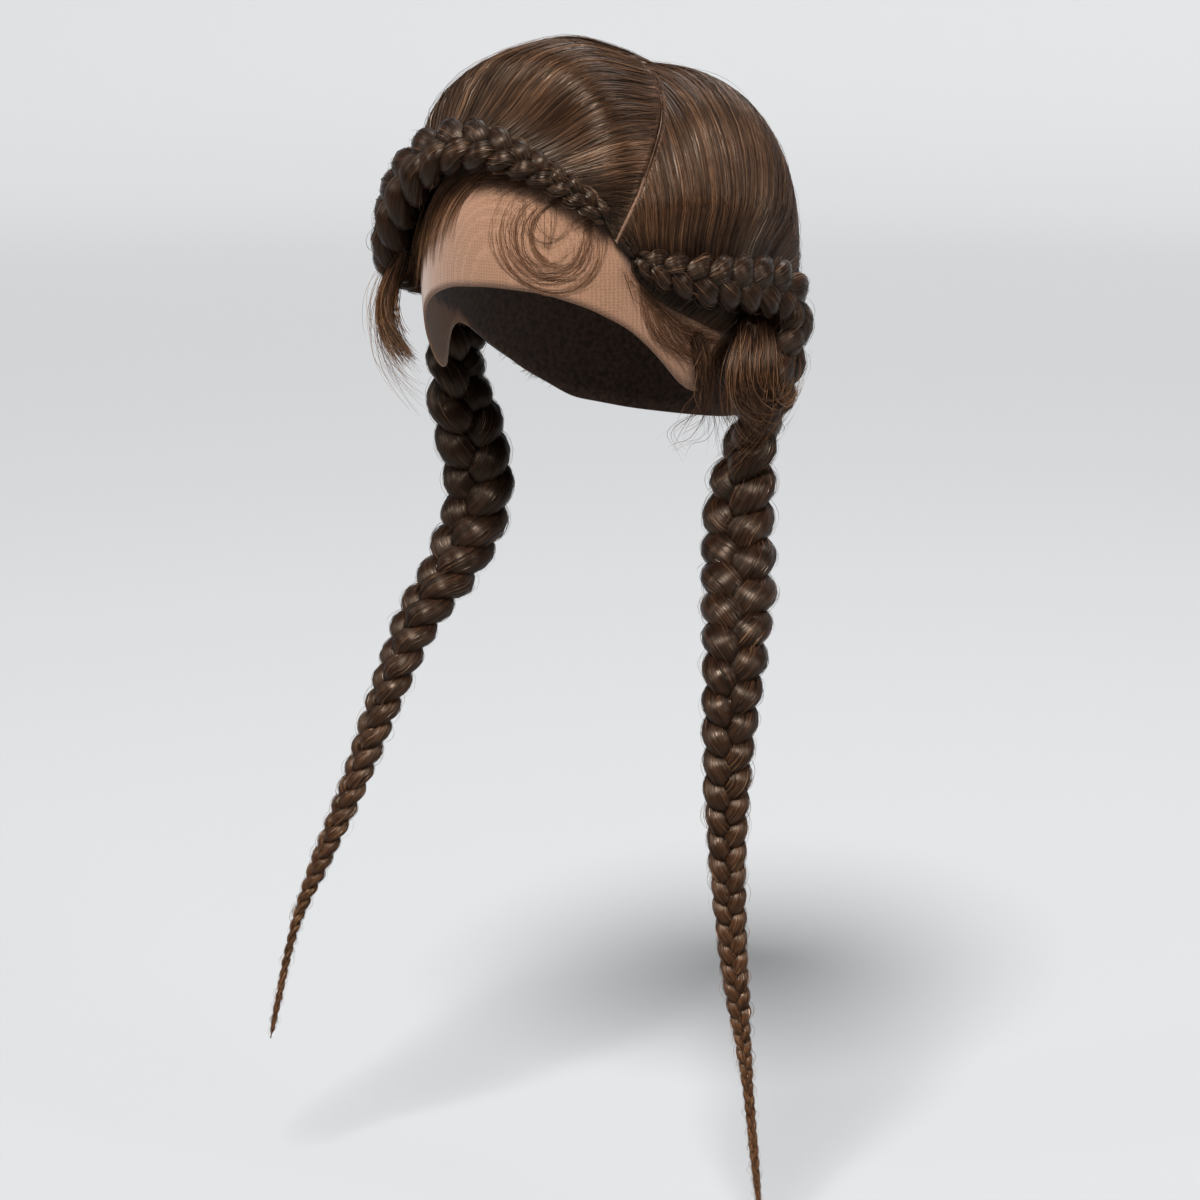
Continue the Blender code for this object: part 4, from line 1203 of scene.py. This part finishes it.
def add_stage():
    """A pale round floor that curves up into a wall on every side."""
    around = np.linspace(0, math.tau, 97)[:-1]
    bends = np.linspace(0.1, math.pi / 2, 14)
    profile = [(1.0, 0.0), (2.0, 0.0), (FLOOR_REACH, 0.0)]
    profile += [(FLOOR_REACH + BEND * math.sin(a), BEND - BEND * math.cos(a)) for a in bends]
    profile += [(FLOOR_REACH + BEND, WALL_TOP)]
    points = [(out * math.cos(a), out * math.sin(a), FLOOR + up) for out, up in profile for a in around]
    points.append((0.0, 0.0, FLOOR))
    count = len(around)
    faces = [(len(points) - 1, k, (k + 1) % count) for k in range(count)]
    for ring in range(len(profile) - 1):
        low = ring * count
        for k in range(count):
            after = (k + 1) % count
            faces.append((low + k, low + count + k, low + count + after, low + after))
    mesh = bpy.data.meshes.new("floor")
    mesh.from_pydata(points, [], faces)
    mesh.polygons.foreach_set("use_smooth", np.ones(len(faces), bool))
    floor = bpy.data.objects.new("floor", mesh)
    bpy.context.scene.collection.objects.link(floor)
    made, tree = new_tree("floor_paint")
    paint(tree, {"Base Color": FLOOR_COLOUR, "Roughness": 0.8})
    mesh.materials.append(made)


def put(name, data, place, way):
    """A lamp or the camera at a place, looking against a way."""
    made = bpy.data.objects.new(name, data)
    made.location = place
    made.rotation_euler = Vector(way).to_track_quat("Z", "Y").to_euler()
    bpy.context.scene.collection.objects.link(made)
    return made


def add_lamp(name, kind, turn, rise, power, distance=0.0, **settings):
    lamp = bpy.data.lights.new(name, kind)
    lamp.energy = power
    for label, value in settings.items():
        setattr(lamp, label, value)
    way = way_of(np.array(float(turn)), np.array(float(rise)))
    put(name, lamp, np.array(LAMP_CENTRE) + way * distance, way)


def add_camera():
    eye, _, _, back = view_axes()
    camera = bpy.data.cameras.new("camera")
    camera.lens = VIEW_LENS
    camera.sensor_width = SENSOR
    bpy.context.scene.camera = put("camera", camera, eye, back)


add_stage()
add_lamp("key", "SUN", *KEY, angle=math.radians(KEY_SPREAD))
for name, turn, rise, power, distance, wide, tall in SOFT_LAMPS:
    add_lamp(name, "AREA", turn, rise, power, distance, shape="RECTANGLE", size=wide, size_y=tall)
world = bpy.data.worlds.new("studio")
bpy.context.scene.world = world
world.use_nodes = True
background = world.node_tree.nodes["Background"]
background.inputs[0].default_value = SKY_COLOUR
background.inputs[1].default_value = SKY_STRENGTH
add_camera()
bpy.context.scene.view_settings.view_transform = "Standard"
